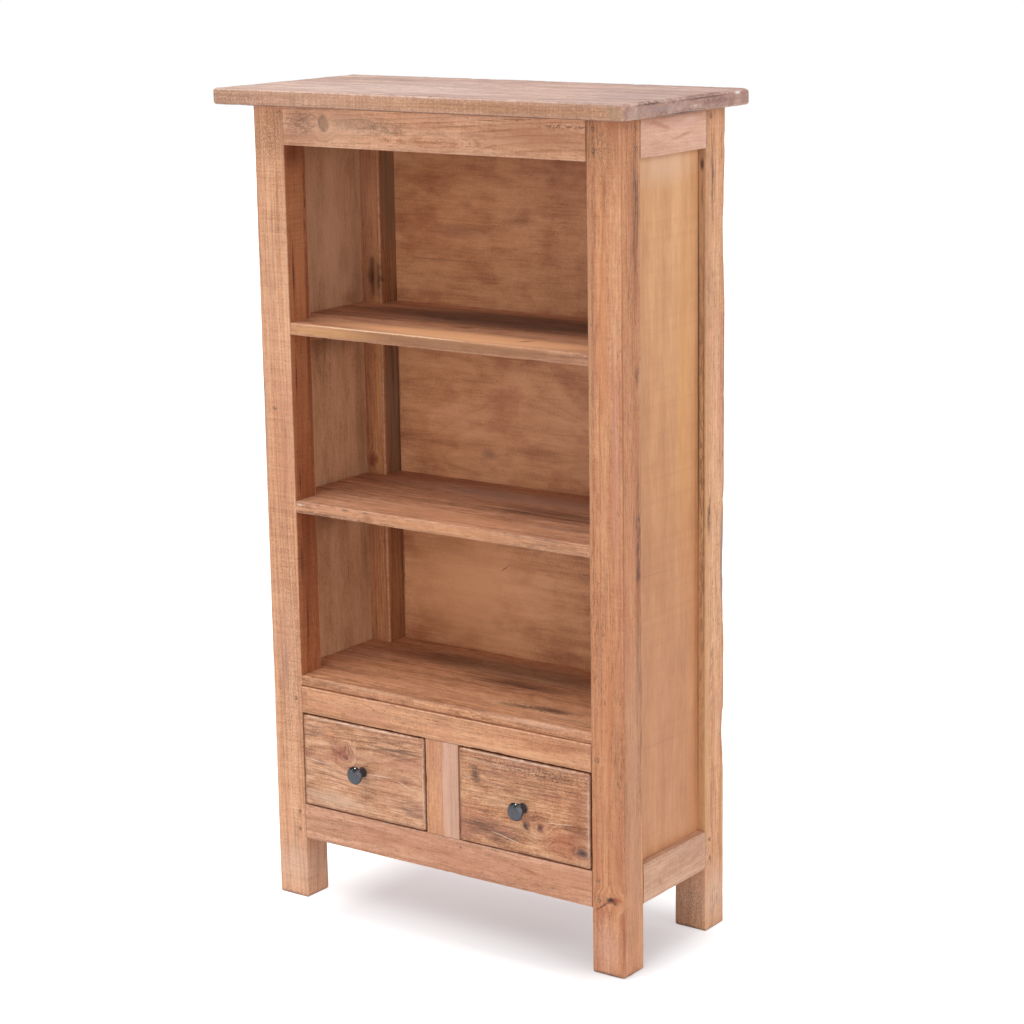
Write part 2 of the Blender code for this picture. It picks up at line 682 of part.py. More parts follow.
def main():
    clear_scene()
    rails = plan_rails()
    stile = plan_stile()
    pegs = plan_pegs(rails)
    make_posts(rails, pegs)
    make_rails(rails, stile, pegs)
    make_pegs(pegs)
    make_top()
    make_panels()
    make_shelves()
    make_cleats()
    make_runners()
    for side, sign in SIDES:
        make_drawer(side, sign)


main()
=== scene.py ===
from math import radians

import bmesh
import bpy
from mathutils import Matrix, Vector


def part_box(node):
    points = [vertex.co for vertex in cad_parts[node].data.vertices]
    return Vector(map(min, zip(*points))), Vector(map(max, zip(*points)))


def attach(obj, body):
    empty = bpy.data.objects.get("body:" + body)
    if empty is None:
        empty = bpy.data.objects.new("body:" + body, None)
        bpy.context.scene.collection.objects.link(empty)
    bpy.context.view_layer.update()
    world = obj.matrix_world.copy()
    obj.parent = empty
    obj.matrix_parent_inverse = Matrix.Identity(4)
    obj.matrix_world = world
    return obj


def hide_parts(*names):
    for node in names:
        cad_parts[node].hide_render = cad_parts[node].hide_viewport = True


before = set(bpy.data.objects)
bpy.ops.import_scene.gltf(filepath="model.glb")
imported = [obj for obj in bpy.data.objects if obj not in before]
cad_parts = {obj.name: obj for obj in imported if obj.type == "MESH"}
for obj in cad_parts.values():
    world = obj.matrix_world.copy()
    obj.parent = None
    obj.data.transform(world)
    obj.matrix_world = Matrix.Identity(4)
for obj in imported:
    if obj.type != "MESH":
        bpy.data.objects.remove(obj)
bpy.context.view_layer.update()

scene = bpy.context.scene
scene.view_settings.view_transform = "Standard"


# sRGB hex to a linear colour
def hexColour(code):
    levels = [int(code[i:i + 2], 16) / 255 for i in (1, 3, 5)]
    linear = [c / 12.92 if c <= 0.04045 else ((c + 0.055) / 1.055) ** 2.4 for c in levels]
    return (*linear, 1.0)


# Adds a node with its settings and links; a node given as a source means its first live output
def addNode(tree, kind, settings=None, links=None):
    node = tree.nodes.new("ShaderNode" + kind)
    for key, value in (settings or {}).items():
        if key == "stops":
            ramp = node.color_ramp.elements
            for i, (spot, colour) in enumerate(value):
                stop = ramp[i] if i < 2 else ramp.new(spot)
                stop.position = spot
                stop.color = colour
        elif isinstance(key, int) or key in node.inputs:
            node.inputs[key].default_value = value
        else:
            setattr(node, key, value)
    for key, source in (links or {}).items():
        if isinstance(source, tuple):
            source = source[0].outputs[source[1]]
        elif isinstance(source, bpy.types.Node):
            source = next(out for out in source.outputs if out.enabled)
        tree.links.new(source, node.inputs[key])
    return node


# Camera, where the photograph was taken from
shot = {"place": (2.4263, -3.2827, 1.5945), "turn": 35.844, "tilt": 13.006, "roll": -0.877, "lens": 95.5}

bpy.ops.object.select_all(action="DESELECT")
bpy.ops.object.camera_add()
camera = bpy.context.object
camera.data.sensor_width = 36
camera.data.lens = shot["lens"]
camera.data.clip_end = 60
aim = Matrix.Rotation(radians(shot["turn"]), 4, "Z") @ Matrix.Rotation(radians(90 - shot["tilt"]), 4, "X")
camera.matrix_world = Matrix.Translation(shot["place"]) @ aim @ Matrix.Rotation(radians(shot["roll"]), 4, "Z")
scene.camera = camera
print("camera placed")

# Light: a big soft lamp high on the left, weaker ones in front and on the right, and a pale room
light = {
    "high": {"power": 1.70, "softness": 42, "towards": (0.22, 0.52, -1.10)},
    "front": {"power": 1.05, "softness": 50, "towards": (-0.45, 1.00, -0.12)},
    "side": {"power": 1.30, "softness": 40, "towards": (-1.00, 0.04, -0.38)},
    "room": 0.30,
}

for label in ("high", "front", "side"):
    bpy.ops.object.light_add(type="SUN")
    lamp = bpy.context.object
    lamp.name = label + "Lamp"
    lamp.data.energy = light[label]["power"]
    lamp.data.angle = radians(light[label]["softness"])
    lamp.rotation_euler = Vector(light[label]["towards"]).to_track_quat("-Z", "Y").to_euler()

world = bpy.data.worlds.new("paleRoom")
scene.world = world
world.use_nodes = True
sky = world.node_tree
sky.nodes.clear()
skyRay = addNode(sky, "LightPath")
skySeen = addNode(
    sky, "Math", {"operation": "MAXIMUM"}, {0: (skyRay, "Is Camera Ray"), 1: (skyRay, "Is Glossy Ray")})
skySeen = addNode(sky, "Math", {"operation": "MAXIMUM"}, {0: skySeen, 1: (skyRay, "Is Transmission Ray")})
skyGlow = addNode(sky, "Background", {"Color": hexColour("#FFFFFF"), "Strength": light["room"]})
skyWhite = addNode(sky, "Background", {"Color": hexColour("#FFFFFF"), "Strength": 1.0})
skyMix = addNode(sky, "MixShader", {}, {0: skySeen, 1: skyGlow, 2: skyWhite})
addNode(sky, "OutputWorld", {}, {"Surface": skyMix})

# Floor: a white light table, so the shadow shows only under the bookcase and just round its feet. Under the
# bookcase its glow is dimmed, tinted and sloped across the floor: painted shade that sets the depth, tint and
# shape of that shadow
floorPaper = {
    "size": 24, "colour": "#E9E6E4", "shade": "#C2C4C4", "glow": "#FFF6F9", "lift": 0.465,
    "bright": "#FFFFFF", "low": (-0.175, -0.10, 0.0), "high": (0.27, 0.06, 0.0), "lowFade": (0.16, 0.16, 1.0),
    "highFade": (0.19, 0.24, 1.0), "lean": (-0.33, 0.70, 0.0),
}

bpy.ops.object.select_all(action="DESELECT")
bpy.ops.mesh.primitive_plane_add(size=floorPaper["size"], location=(0, 0, 0))
floor = bpy.context.object
floor.name = "paperFloor"
paper = bpy.data.materials.new("whitePaper")
paper.use_nodes = True
sheet = paper.node_tree
sheet.nodes.clear()
paperRay = addNode(sheet, "LightPath")
paperSeen = addNode(
    sheet, "Math", {"operation": "MAXIMUM"}, {0: (paperRay, "Is Camera Ray"), 1: (paperRay, "Is Glossy Ray")})
paperSeen = addNode(
    sheet, "Math", {"operation": "MAXIMUM"}, {0: paperSeen, 1: (paperRay, "Is Transmission Ray")})
paperMatt = addNode(sheet, "BsdfDiffuse", {"Color": hexColour(floorPaper["colour"])})
paperShade = addNode(sheet, "BsdfDiffuse", {"Color": hexColour(floorPaper["shade"])})
paperPlace = addNode(sheet, "TexCoord")
lowSide = addNode(
    sheet, "VectorMath", {"operation": "SUBTRACT", 0: floorPaper["low"]}, {1: (paperPlace, "Object")})
highSide = addNode(
    sheet, "VectorMath", {"operation": "SUBTRACT", 1: floorPaper["high"]}, {0: (paperPlace, "Object")})
beyond = []
for side, fade in ((lowSide, "lowFade"), (highSide, "highFade")):
    side = addNode(sheet, "VectorMath", {"operation": "MAXIMUM", 1: (0, 0, 0)}, {0: side})
    beyond.append(addNode(sheet, "VectorMath", {"operation": "DIVIDE", 1: floorPaper[fade]}, {0: side}))
paperAway = addNode(sheet, "VectorMath", {"operation": "ADD"}, {0: beyond[0], 1: beyond[1]})
paperAway = addNode(sheet, "VectorMath", {"operation": "LENGTH"}, {0: paperAway})
paperFade = addNode(sheet, "MapRange", {"interpolation_type": "SMOOTHSTEP"}, {"Value": paperAway})
# Painted shade: the glow under the bookcase slopes across the floor, darker towards one side
paperShadowSlope = addNode(
    sheet, "VectorMath", {"operation": "DOT_PRODUCT", 1: floorPaper["lean"]}, {0: (paperPlace, "Object")})
paperLift = addNode(sheet, "Math", {"operation": "ADD", 1: floorPaper["lift"]}, {0: paperShadowSlope})
paperLift = addNode(sheet, "Clamp", {"Min": 0.30, "Max": 0.60}, {0: paperLift})
paperShadowGlow = addNode(sheet, "Emission", {"Color": hexColour(floorPaper["glow"])}, {"Strength": paperLift})
paperBright = addNode(sheet, "Emission", {"Color": hexColour(floorPaper["bright"]), "Strength": 1.0})
paperGlow = addNode(sheet, "MixShader", {}, {0: paperFade, 1: paperShadowGlow, 2: paperBright})
paperShown = addNode(sheet, "AddShader", {}, {0: paperShade, 1: paperGlow})
paperMix = addNode(sheet, "MixShader", {}, {0: paperSeen, 1: paperMatt, 2: paperShown})
addNode(sheet, "OutputMaterial", {}, {"Surface": paperMix})
floor.data.materials.append(paper)
print("light and floor placed")


# A place or a size in a board's own directions: along the grain, then across it
def alongGrain(run, place):
    x, y, z = place
    return Vector({"x": (x, y, z), "y": (y, -x, z), "z": (z, y, -x)}[run])


grainTurn = {"x": (0, 0, 0), "y": (0, 0, radians(-90)), "z": (0, radians(90), 0)}
seedStep = Vector((1.71, 0.37, 0.61))             # takes each board's patterns from a place of their own
noiseStep = 0.7                                   # a further share of it for each pattern of one board
markRagged = Vector((0.006, 0.0022, 0.0022))      # how far noise pulls the outline of a mark, in metres
knotRagged = Vector((0.014, 0.010, 0.010))        # how far it pulls that of a knot besides


# A new material, with its patterns measured in metres from the piece's centre and the grain along X
def startMaterial(name, centre, run="x"):
    material = bpy.data.materials.new(name)
    material.use_nodes = True
    tree = material.node_tree
    place = addNode(tree, "TexCoord")
    own = addNode(
        tree, "Mapping", {"Location": -centre, "Rotation": grainTurn[run]}, {"Vector": (place, "Object")})
    return material, tree, tree.nodes["Principled BSDF"], own


# Body colour: each layer of noise shifts the tone by its share, from pale to dark
def bodyColour(tree, facts, tone, layers):
    for layer, share in layers:
        shade = addNode(
            tree, "MapRange",
            {"From Min": 0.28, "From Max": 0.72, "To Min": -0.5 * share, "To Max": 0.5 * share},
            {"Value": layer})
        tone = addNode(tree, "Math", {"operation": "ADD"}, {0: tone, 1: shade})
    light, amber, dark = [hexColour(facts[key]) for key in ("light", "amber", "dark")]
    return addNode(tree, "ValToRGB", {"stops": [(0.0, light), (1.0, dark), (0.45, amber)]}, {0: tone})


# Marks: stains, cracks, peg rims and scrapes, and painted shade and painted highlights, each at its place.
# Some cover only the grains or the streaks, a square one fills a face, and a tint darkens what is there, as a
# stain or painted shade does.
def layMarks(tree, facts, centre, board, ragged, layers, colour, height):
    for mark in facts["marks"]:
        spot = alongGrain(facts["run"], mark["place"]) - centre
        if not mark.get("square"):
            spot += markRagged / 2
        slant = [radians(angle) for angle in mark.get("slant", (0, 0, 0))]
        near = addNode(
            tree, "Mapping",
            {"vector_type": "TEXTURE", "Location": spot, "Rotation": slant, "Scale": mark["size"]},
            {"Vector": board if mark.get("square") else ragged})
        if mark.get("square"):
            near = addNode(tree, "VectorMath", {"operation": "ABSOLUTE"}, {0: near})
            spans = addNode(tree, "SeparateXYZ", {}, {0: near})
            span = addNode(tree, "Math", {"operation": "MAXIMUM"}, {0: (spans, "Y"), 1: (spans, "Z")})
            span = addNode(tree, "Math", {"operation": "MAXIMUM"}, {0: (spans, "X"), 1: span})
        else:
            span = addNode(tree, "VectorMath", {"operation": "LENGTH"}, {0: near})
        cover = addNode(
            tree, "MapRange", {
                "From Min": mark.get("core", 0.2), "From Max": 1.0, "To Min": mark["amount"], "To Max": 0.0},
            {"Value": span})
        if mark.get("only"):
            picked = addNode(
                tree, "MapRange", {"From Min": 0.46, "From Max": 0.60}, {"Value": layers[mark["only"]]})
            cover = addNode(tree, "Math", {"operation": "MULTIPLY"}, {0: cover, 1: picked})
        tint = mark.get("tint")
        colour = addNode(
            tree, "Mix", {
                "data_type": "RGBA", "blend_type": "MULTIPLY" if tint else "MIX",
                7: hexColour(tint or mark.get("colour", facts["grime"]))},
            {0: cover, 6: colour})
        if mark.get("deep"):
            height = addNode(
                tree, "Math", {"operation": "MULTIPLY_ADD", 1: -mark["deep"]}, {0: cover, 2: height})
    return colour, height


# Sanded and waxed reclaimed pine. Growth rings run through the whole board, so faces and edges match.
# Soft bands, fine short fibres, thin dark pores and settled dirt make it look old and much handled.
pineFacts = {
    "light": "#DFAA80", "amber": "#CE9468", "dark": "#A96F4A", "flush": "#C6886A", "grime": "#5A4236",
    "stain": "#8A6148", "bloom": "#E8C9B0", "heart": "#6E412E", "seed": 1.0, "run": "x", "ringWidth": 0.0055,
    "pith": (0.03, -0.08), "lean": (0.7, -0.5), "sway": 0.007, "rings": 0.35, "bands": 0.8, "fibres": 0.55,
    "grain": 0.32, "mottle": 0.30, "sawn": 0.14, "streaks": 0.3, "scratch": 0.12, "pores": 0.6, "haze": 0.0,
    "wear": 0.4, "soil": 0.3, "relief": 1.0, "gloss": 0.0, "staves": 1, "freeEnds": False,
    "endTone": "#A8765A", "knots": [], "marks": [],
}

# Noise in each board: how often it repeats in a metre along the grain and across it, and its detail.
# Bands are 30 mm wide, streaks 5 mm, fibres, pores and grain 2 mm, drawn as coarse as they show.
pineNoises = {
    "wide": ((1.2, 32, 32), 2.5), "streaks": ((5, 165, 165), 2.0), "fibres": ((22, 400, 400), 2.5),
    "hairs": ((85, 560, 560), 2.0), "mottle": ((38, 95, 95), 3.0), "flecks": ((58, 290, 290), 2.0),
}
sawNoises = {"grains": (330, 520, 520), "saw": (300, 12, 12)}    # these cross the rings, as the tools did

# Slow patterns, times in a metre: outlines of marks and knots, sway of the grain and patches. Then lengths in
# metres: how staves differ, how wide and how ragged worn edges are, how deep the saw shows and the relief.
pineSizes = {
    "outline": 160.0, "knotOutline": 75.0, "swayScale": (2.8, 10, 10), "patchScale": (6, 24, 24),
    "staveStep": (0.73, 0.021), "edgeWear": (0.0020, 0.0088), "edgeRagged": 0.0066,
    "sawnEnd": (0.0008, 0.0020), "reliefDepth": 0.0012,
}


def makePine(name, facts, low, high):
    facts = {**pineFacts, **pineSizes, **facts}
    run = facts["run"]
    centre = alongGrain(run, (low + high) / 2)
    half = Vector([abs(c) for c in alongGrain(run, (high - low) / 2)])
    shift = seedStep * facts["seed"]
    material, tree, shader, board = startMaterial(name, centre, run)
    apart = addNode(tree, "SeparateXYZ", {}, {0: board})

    # Staves glued side by side, each with its own grain
    lumber = board
    if facts["staves"] > 1:
        count = facts["staves"]
        width = 2 * half.y / count
        alongStep, deepStep = facts["staveStep"]
        across = addNode(
            tree, "Math", {"operation": "MULTIPLY_ADD", 1: 1 / width, 2: count / 2}, {0: (apart, "Y")})
        number = addNode(tree, "Math", {"operation": "FLOOR"}, {0: across})
        inside = addNode(tree, "Math", {"operation": "FRACT"}, {0: across})
        staveX = addNode(
            tree, "Math", {"operation": "MULTIPLY_ADD", 1: alongStep}, {0: number, 2: (apart, "X")})
        staveY = addNode(tree, "Math", {"operation": "MULTIPLY_ADD", 1: width, 2: -width / 2}, {0: inside})
        staveZ = addNode(
            tree, "Math", {"operation": "MULTIPLY_ADD", 1: deepStep}, {0: number, 2: (apart, "Z")})
        lumber = addNode(tree, "CombineXYZ", {}, {"X": staveX, "Y": staveY, "Z": staveZ})

    # Ragged outlines for marks, and broader ones for knots
    rough = addNode(
        tree, "TexNoise", {"Scale": facts["outline"], "Detail": 2.0, "Roughness": 0.6}, {"Vector": board})
    ragged = addNode(
        tree, "VectorMath", {"operation": "MULTIPLY_ADD", 1: markRagged}, {0: (rough, "Color"), 2: board})
    warp = addNode(
        tree, "TexNoise", {"Scale": facts["knotOutline"], "Detail": 1.0, "Roughness": 0.5}, {"Vector": board})
    warped = addNode(
        tree, "VectorMath", {"operation": "MULTIPLY_ADD", 1: knotRagged}, {0: (warp, "Color"), 2: ragged})

    # Knots push the grain aside, so that fibres and rings flow round them
    spans = []
    for knot in facts["knots"]:
        spot = alongGrain(run, knot["place"]) - centre
        near = addNode(
            tree, "Mapping", {
                "vector_type": "TEXTURE", "Location": spot + (markRagged + knotRagged) / 2,
                "Scale": knot["size"]},
            {"Vector": warped})
        span = addNode(tree, "VectorMath", {"operation": "LENGTH"}, {0: near})
        spans.append(span)
        push = addNode(
            tree, "MapRange", {
                "interpolation_type": "SMOOTHERSTEP", "From Min": 0.0, "From Max": knot.get("reach", 3.4),
                "To Min": -knot.get("push", 0.8), "To Max": 0.0},
            {"Value": span})
        aside = addNode(tree, "VectorMath", {"operation": "SUBTRACT", 1: spot}, {0: board})
        lumber = addNode(tree, "VectorMath", {"operation": "MULTIPLY_ADD"}, {0: aside, 1: push, 2: lumber})

    # Slow sway of the grain, some millimetres over a few hundred
    slow = addNode(tree, "Mapping", {"Location": shift, "Scale": facts["swayScale"]}, {"Vector": lumber})
    slowNoise = addNode(tree, "TexNoise", {"Scale": 1.0, "Detail": 2.0, "Roughness": 0.5}, {"Vector": slow})
    sway = facts["sway"]
    swayed = addNode(
        tree, "VectorMath", {"operation": "MULTIPLY_ADD", 1: (0, sway, sway)},
        {0: (slowNoise, "Color"), 2: lumber})

    # Distance from the pith gives the growth rings
    pith = facts["pith"]
    lean = (0, radians(facts["lean"][0]), radians(facts["lean"][1]))
    leaning = addNode(
        tree, "Mapping", {"Location": (0, -pith[0], -pith[1]), "Rotation": lean}, {"Vector": swayed})
    flat = addNode(tree, "VectorMath", {"operation": "MULTIPLY", 1: (0, 1, 1)}, {0: leaning})
    rings = addNode(tree, "VectorMath", {"operation": "LENGTH"}, {0: flat})
    for knot, span in zip(facts["knots"], spans):
        swell = addNode(
            tree, "MapRange", {
                "interpolation_type": "SMOOTHERSTEP", "From Min": 0.2, "From Max": knot.get("reach", 3.4),
                "To Min": knot["swell"], "To Max": 0.0},
            {"Value": span})
        rings = addNode(tree, "Math", {"operation": "ADD"}, {0: rings, 1: swell})

    # Rings of uneven width: pale at first, darker at the end, then pale at once
    uneven = addNode(tree, "Math", {"operation": "MULTIPLY", 1: 0.42 / facts["ringWidth"]}, {0: rings})
    unevenNoise = addNode(
        tree, "TexNoise", {"noise_dimensions": "1D", "Scale": 1.0, "Detail": 1.0}, {"W": uneven})
    count = addNode(
        tree, "Math", {"operation": "MULTIPLY_ADD", 1: 1 / facts["ringWidth"]},
        {0: rings, 2: (unevenNoise, 0)})
    phase = addNode(tree, "Math", {"operation": "FRACT"}, {0: count})
    ringTone = addNode(tree, "ValToRGB", {"stops": [
        (0.0, (0.06, 0.06, 0.06, 1)), (1.0, (0.0, 0.0, 0.0, 1)), (0.55, (0.3, 0.3, 0.3, 1)),
        (0.86, (1, 1, 1, 1)), (0.95, (0.5, 0.5, 0.5, 1))]}, {0: phase})

    noises = {}
    for label, (scale, detail) in pineNoises.items():
        spread = addNode(
            tree, "Mapping", {"Location": shift * (1 + noiseStep * len(noises)), "Scale": scale},
            {"Vector": swayed})
        noises[label] = addNode(
            tree, "TexNoise", {"Scale": 1.0, "Detail": detail, "Roughness": 0.65}, {"Vector": spread})
    for label, scale in sawNoises.items():
        spread = addNode(tree, "Mapping", {"Location": shift, "Scale": scale}, {"Vector": board})
        noises[label] = addNode(
            tree, "TexNoise", {"Scale": 1.0, "Detail": 1.5, "Roughness": 0.6}, {"Vector": spread})
    fibres, grains = noises["fibres"], noises["grains"]

    # Patches some centimetres across: where the dirt sits, and where the wood is flushed
    patch = addNode(
        tree, "Mapping", {"Location": shift * 4.3, "Scale": facts["patchScale"]}, {"Vector": lumber})
    patchNoise = addNode(tree, "TexNoise", {"Scale": 1.0, "Detail": 3.0, "Roughness": 0.6}, {"Vector": patch})
    patches = addNode(tree, "SeparateColor", {}, {0: (patchNoise, "Color")})

    tone = addNode(
        tree, "Math", {"operation": "MULTIPLY_ADD", 1: facts["rings"], 2: 0.45 - 0.35 * facts["rings"]},
        {0: ringTone})
    colour = bodyColour(tree, facts, tone, (
        (noises["wide"], facts["bands"]), (fibres, facts["fibres"]), (grains, facts["grain"]),
        (noises["saw"], facts["sawn"]), (noises["mottle"], facts["mottle"])))

    # Flushed patches, and dark streaks in groups
    flushed = addNode(
        tree, "MapRange", {"From Min": 0.46, "From Max": 0.66, "To Max": 0.55}, {"Value": (patches, "Red")})
    groups = addNode(tree, "MapRange", {"From Min": 0.40, "From Max": 0.60}, {"Value": (patches, "Green")})
    streaks = addNode(
        tree, "MapRange", {"From Min": 0.50, "From Max": 0.66, "To Max": facts["streaks"]},
        {"Value": noises["streaks"]})
    streaks = addNode(tree, "Math", {"operation": "MULTIPLY"}, {0: streaks, 1: groups})

    # Pores: few on clean wood, many where dirt has settled; pale scratches lie between them
    hairs = addNode(tree, "MapRange", {"From Min": 0.57, "From Max": 0.68}, {"Value": noises["hairs"]})
    settled = addNode(
        tree, "MapRange", {"To Min": 0.25 * facts["pores"], "To Max": facts["pores"]}, {"Value": groups})
    hairs = addNode(tree, "Math", {"operation": "MULTIPLY"}, {0: hairs, 1: settled})
    scratches = addNode(
        tree, "MapRange", {"From Min": 0.40, "From Max": 0.31, "To Max": facts["scratch"]},
        {"Value": noises["hairs"]})

    # Dirt among the fibres, and pale dust caught in the fine grain
    soil = addNode(
        tree, "MapRange", {"From Min": 0.54, "From Max": 0.74, "To Max": facts["soil"]},
        {"Value": (patches, "Blue")})
    among = addNode(tree, "MapRange", {"From Min": 0.40, "From Max": 0.62, "To Min": 0.25}, {"Value": fibres})
    soil = addNode(tree, "Math", {"operation": "MULTIPLY"}, {0: soil, 1: among})
    dust = addNode(
        tree, "MapRange", {"From Min": 0.36, "From Max": 0.46, "To Min": facts["haze"], "To Max": 0.0},
        {"Value": grains})
    for cover, label in (
            (flushed, "flush"), (streaks, "stain"), (hairs, "grime"), (scratches, "bloom"), (soil, "grime"),
            (dust, "bloom")):
        colour = addNode(
            tree, "Mix", {"data_type": "RGBA", 7: hexColour(facts[label])}, {0: cover, 6: colour})

    # Worn arrises: the distance to the nearest long edge, made ragged, rubbed pale with a dark line behind
    away = addNode(tree, "VectorMath", {"operation": "ABSOLUTE"}, {0: board})
    away = addNode(tree, "VectorMath", {"operation": "SUBTRACT", 0: half}, {1: away})
    gaps = addNode(tree, "SeparateXYZ", {}, {0: away})
    edge = addNode(tree, "Math", {"operation": "MAXIMUM"}, {0: (gaps, "Y"), 1: (gaps, "Z")})
    if facts["freeEnds"]:
        nearFace = addNode(tree, "Math", {"operation": "MINIMUM"}, {0: (gaps, "Y"), 1: (gaps, "Z")})
        endEdge = addNode(tree, "Math", {"operation": "MAXIMUM"}, {0: nearFace, 1: (gaps, "X")})
        edge = addNode(tree, "Math", {"operation": "MINIMUM"}, {0: edge, 1: endEdge})
    edge = addNode(
        tree, "Math", {"operation": "MULTIPLY_ADD", 1: facts["edgeRagged"]}, {0: (rough, 0), 2: edge})
    edge = addNode(
        tree, "MapRange", {"From Min": facts["edgeWear"][0], "From Max": facts["edgeWear"][1]},
        {"Value": edge})
    bloom, rim = hexColour(facts["bloom"]), hexColour(facts["dark"])
    worn = addNode(tree, "ValToRGB", {"stops": [
        (0.0, (*bloom[:3], facts["wear"])), (1.0, (*rim[:3], 0.0)), (0.28, (*bloom[:3], 0.8 * facts["wear"])),
        (0.50, (*rim[:3], 0.45 * facts["wear"])), (0.72, (*rim[:3], 0.6 * facts["wear"]))]}, {0: edge})
    colour = addNode(tree, "Mix", {"data_type": "RGBA"}, {0: (worn, "Alpha"), 6: colour, 7: (worn, "Color")})

    # Sawn ends
    ends = addNode(
        tree, "MapRange", {
            "From Min": facts["sawnEnd"][0], "From Max": facts["sawnEnd"][1], "To Min": 0.75, "To Max": 0.0},
        {"Value": (gaps, "X")})
    endGrain = addNode(
        tree, "Mix", {"data_type": "RGBA", 0: 0.8, 7: hexColour(facts["endTone"])}, {6: colour})
    colour = addNode(tree, "Mix", {"data_type": "RGBA"}, {0: ends, 6: colour, 7: endGrain})

    # Knots: a dark heart in reddish wood, with a faint rim
    height = addNode(tree, "Math", {"operation": "MULTIPLY_ADD", 1: -0.30, 2: 0.5}, {0: ringTone})
    for knot, span in zip(facts["knots"], spans):
        strength = knot.get("strength", 0.8)
        if not strength:
            continue
        heart = hexColour(knot.get("heart", facts["heart"]))
        rim = hexColour(knot.get("rim", facts["grime"]))
        core = addNode(tree, "ValToRGB", {"stops": [
            (0.0, (*rim[:3], strength)), (1.0, (*heart[:3], 0.0)), (0.20, (*rim[:3], 0.9 * strength)),
            (0.36, (*heart[:3], 0.85 * strength)), (0.55, (*heart[:3], 0.7 * strength)),
            (0.66, (*rim[:3], knot.get("ring", 0.35) * strength)), (0.80, (*heart[:3], 0.2 * strength))]})
        scaled = addNode(tree, "Math", {"operation": "MULTIPLY_ADD", 1: 0.58, 2: -0.12}, {0: span})
        scaled = addNode(tree, "Math", {"operation": "MULTIPLY_ADD", 1: 0.30}, {0: fibres, 2: scaled})
        tree.links.new(scaled.outputs[0], core.inputs[0])
        colour = addNode(
            tree, "Mix", {"data_type": "RGBA"}, {0: (core, "Alpha"), 6: colour, 7: (core, "Color")})
        height = addNode(
            tree, "Math", {"operation": "MULTIPLY_ADD", 1: -0.35}, {0: (core, "Alpha"), 2: height})

    colour, height = layMarks(tree, facts, centre, board, ragged, noises, colour, height)

    # Relief of rings, fibres and open pores, about half a millimetre deep
    for layer, share in ((fibres, 0.45), (grains, 0.35), (hairs, 0.5)):
        height = addNode(tree, "Math", {"operation": "MULTIPLY_ADD", 1: -share}, {0: layer, 2: height})
    bump = addNode(
        tree, "Bump", {"Strength": 0.5 * facts["relief"], "Distance": facts["reliefDepth"]},
        {"Height": height})
    rough = addNode(
        tree, "MapRange", {
            "From Min": 0.3, "From Max": 0.7, "To Min": 0.50 - facts["gloss"],
            "To Max": 0.68 - facts["gloss"]},
        {"Value": fibres})
    rough = addNode(
        tree, "Math", {"operation": "MULTIPLY_ADD", 1: 0.2, "use_clamp": True}, {0: hairs, 2: rough})
    shader.inputs["IOR"].default_value = 1.5
    tree.links.new(colour.outputs[2], shader.inputs["Base Color"])
    tree.links.new(rough.outputs[0], shader.inputs["Roughness"])
    tree.links.new(bump.outputs[0], shader.inputs["Normal"])
    return material


# Rotary-cut plywood: soft blotches and short fibres under thin varnish, with a faint wave of figure
plyFacts = {
    "light": "#D8A67A", "amber": "#C98F63", "dark": "#A97048", "blotch": "#A86444", "grime": "#6E4A38",
    "seed": 1.0, "run": "z", "figure": 0.12, "fibres": 0.22, "grain": 0.14, "bands": 0.5, "clouds": 0.5,
    "blotches": 0.3, "lines": 0.0, "waves": (2.4, 17, 17), "cloudSize": (9, 22, 22),
    "patchSize": (12, 30, 30), "contours": 9.0, "reliefDepth": 0.0006, "marks": [],
}


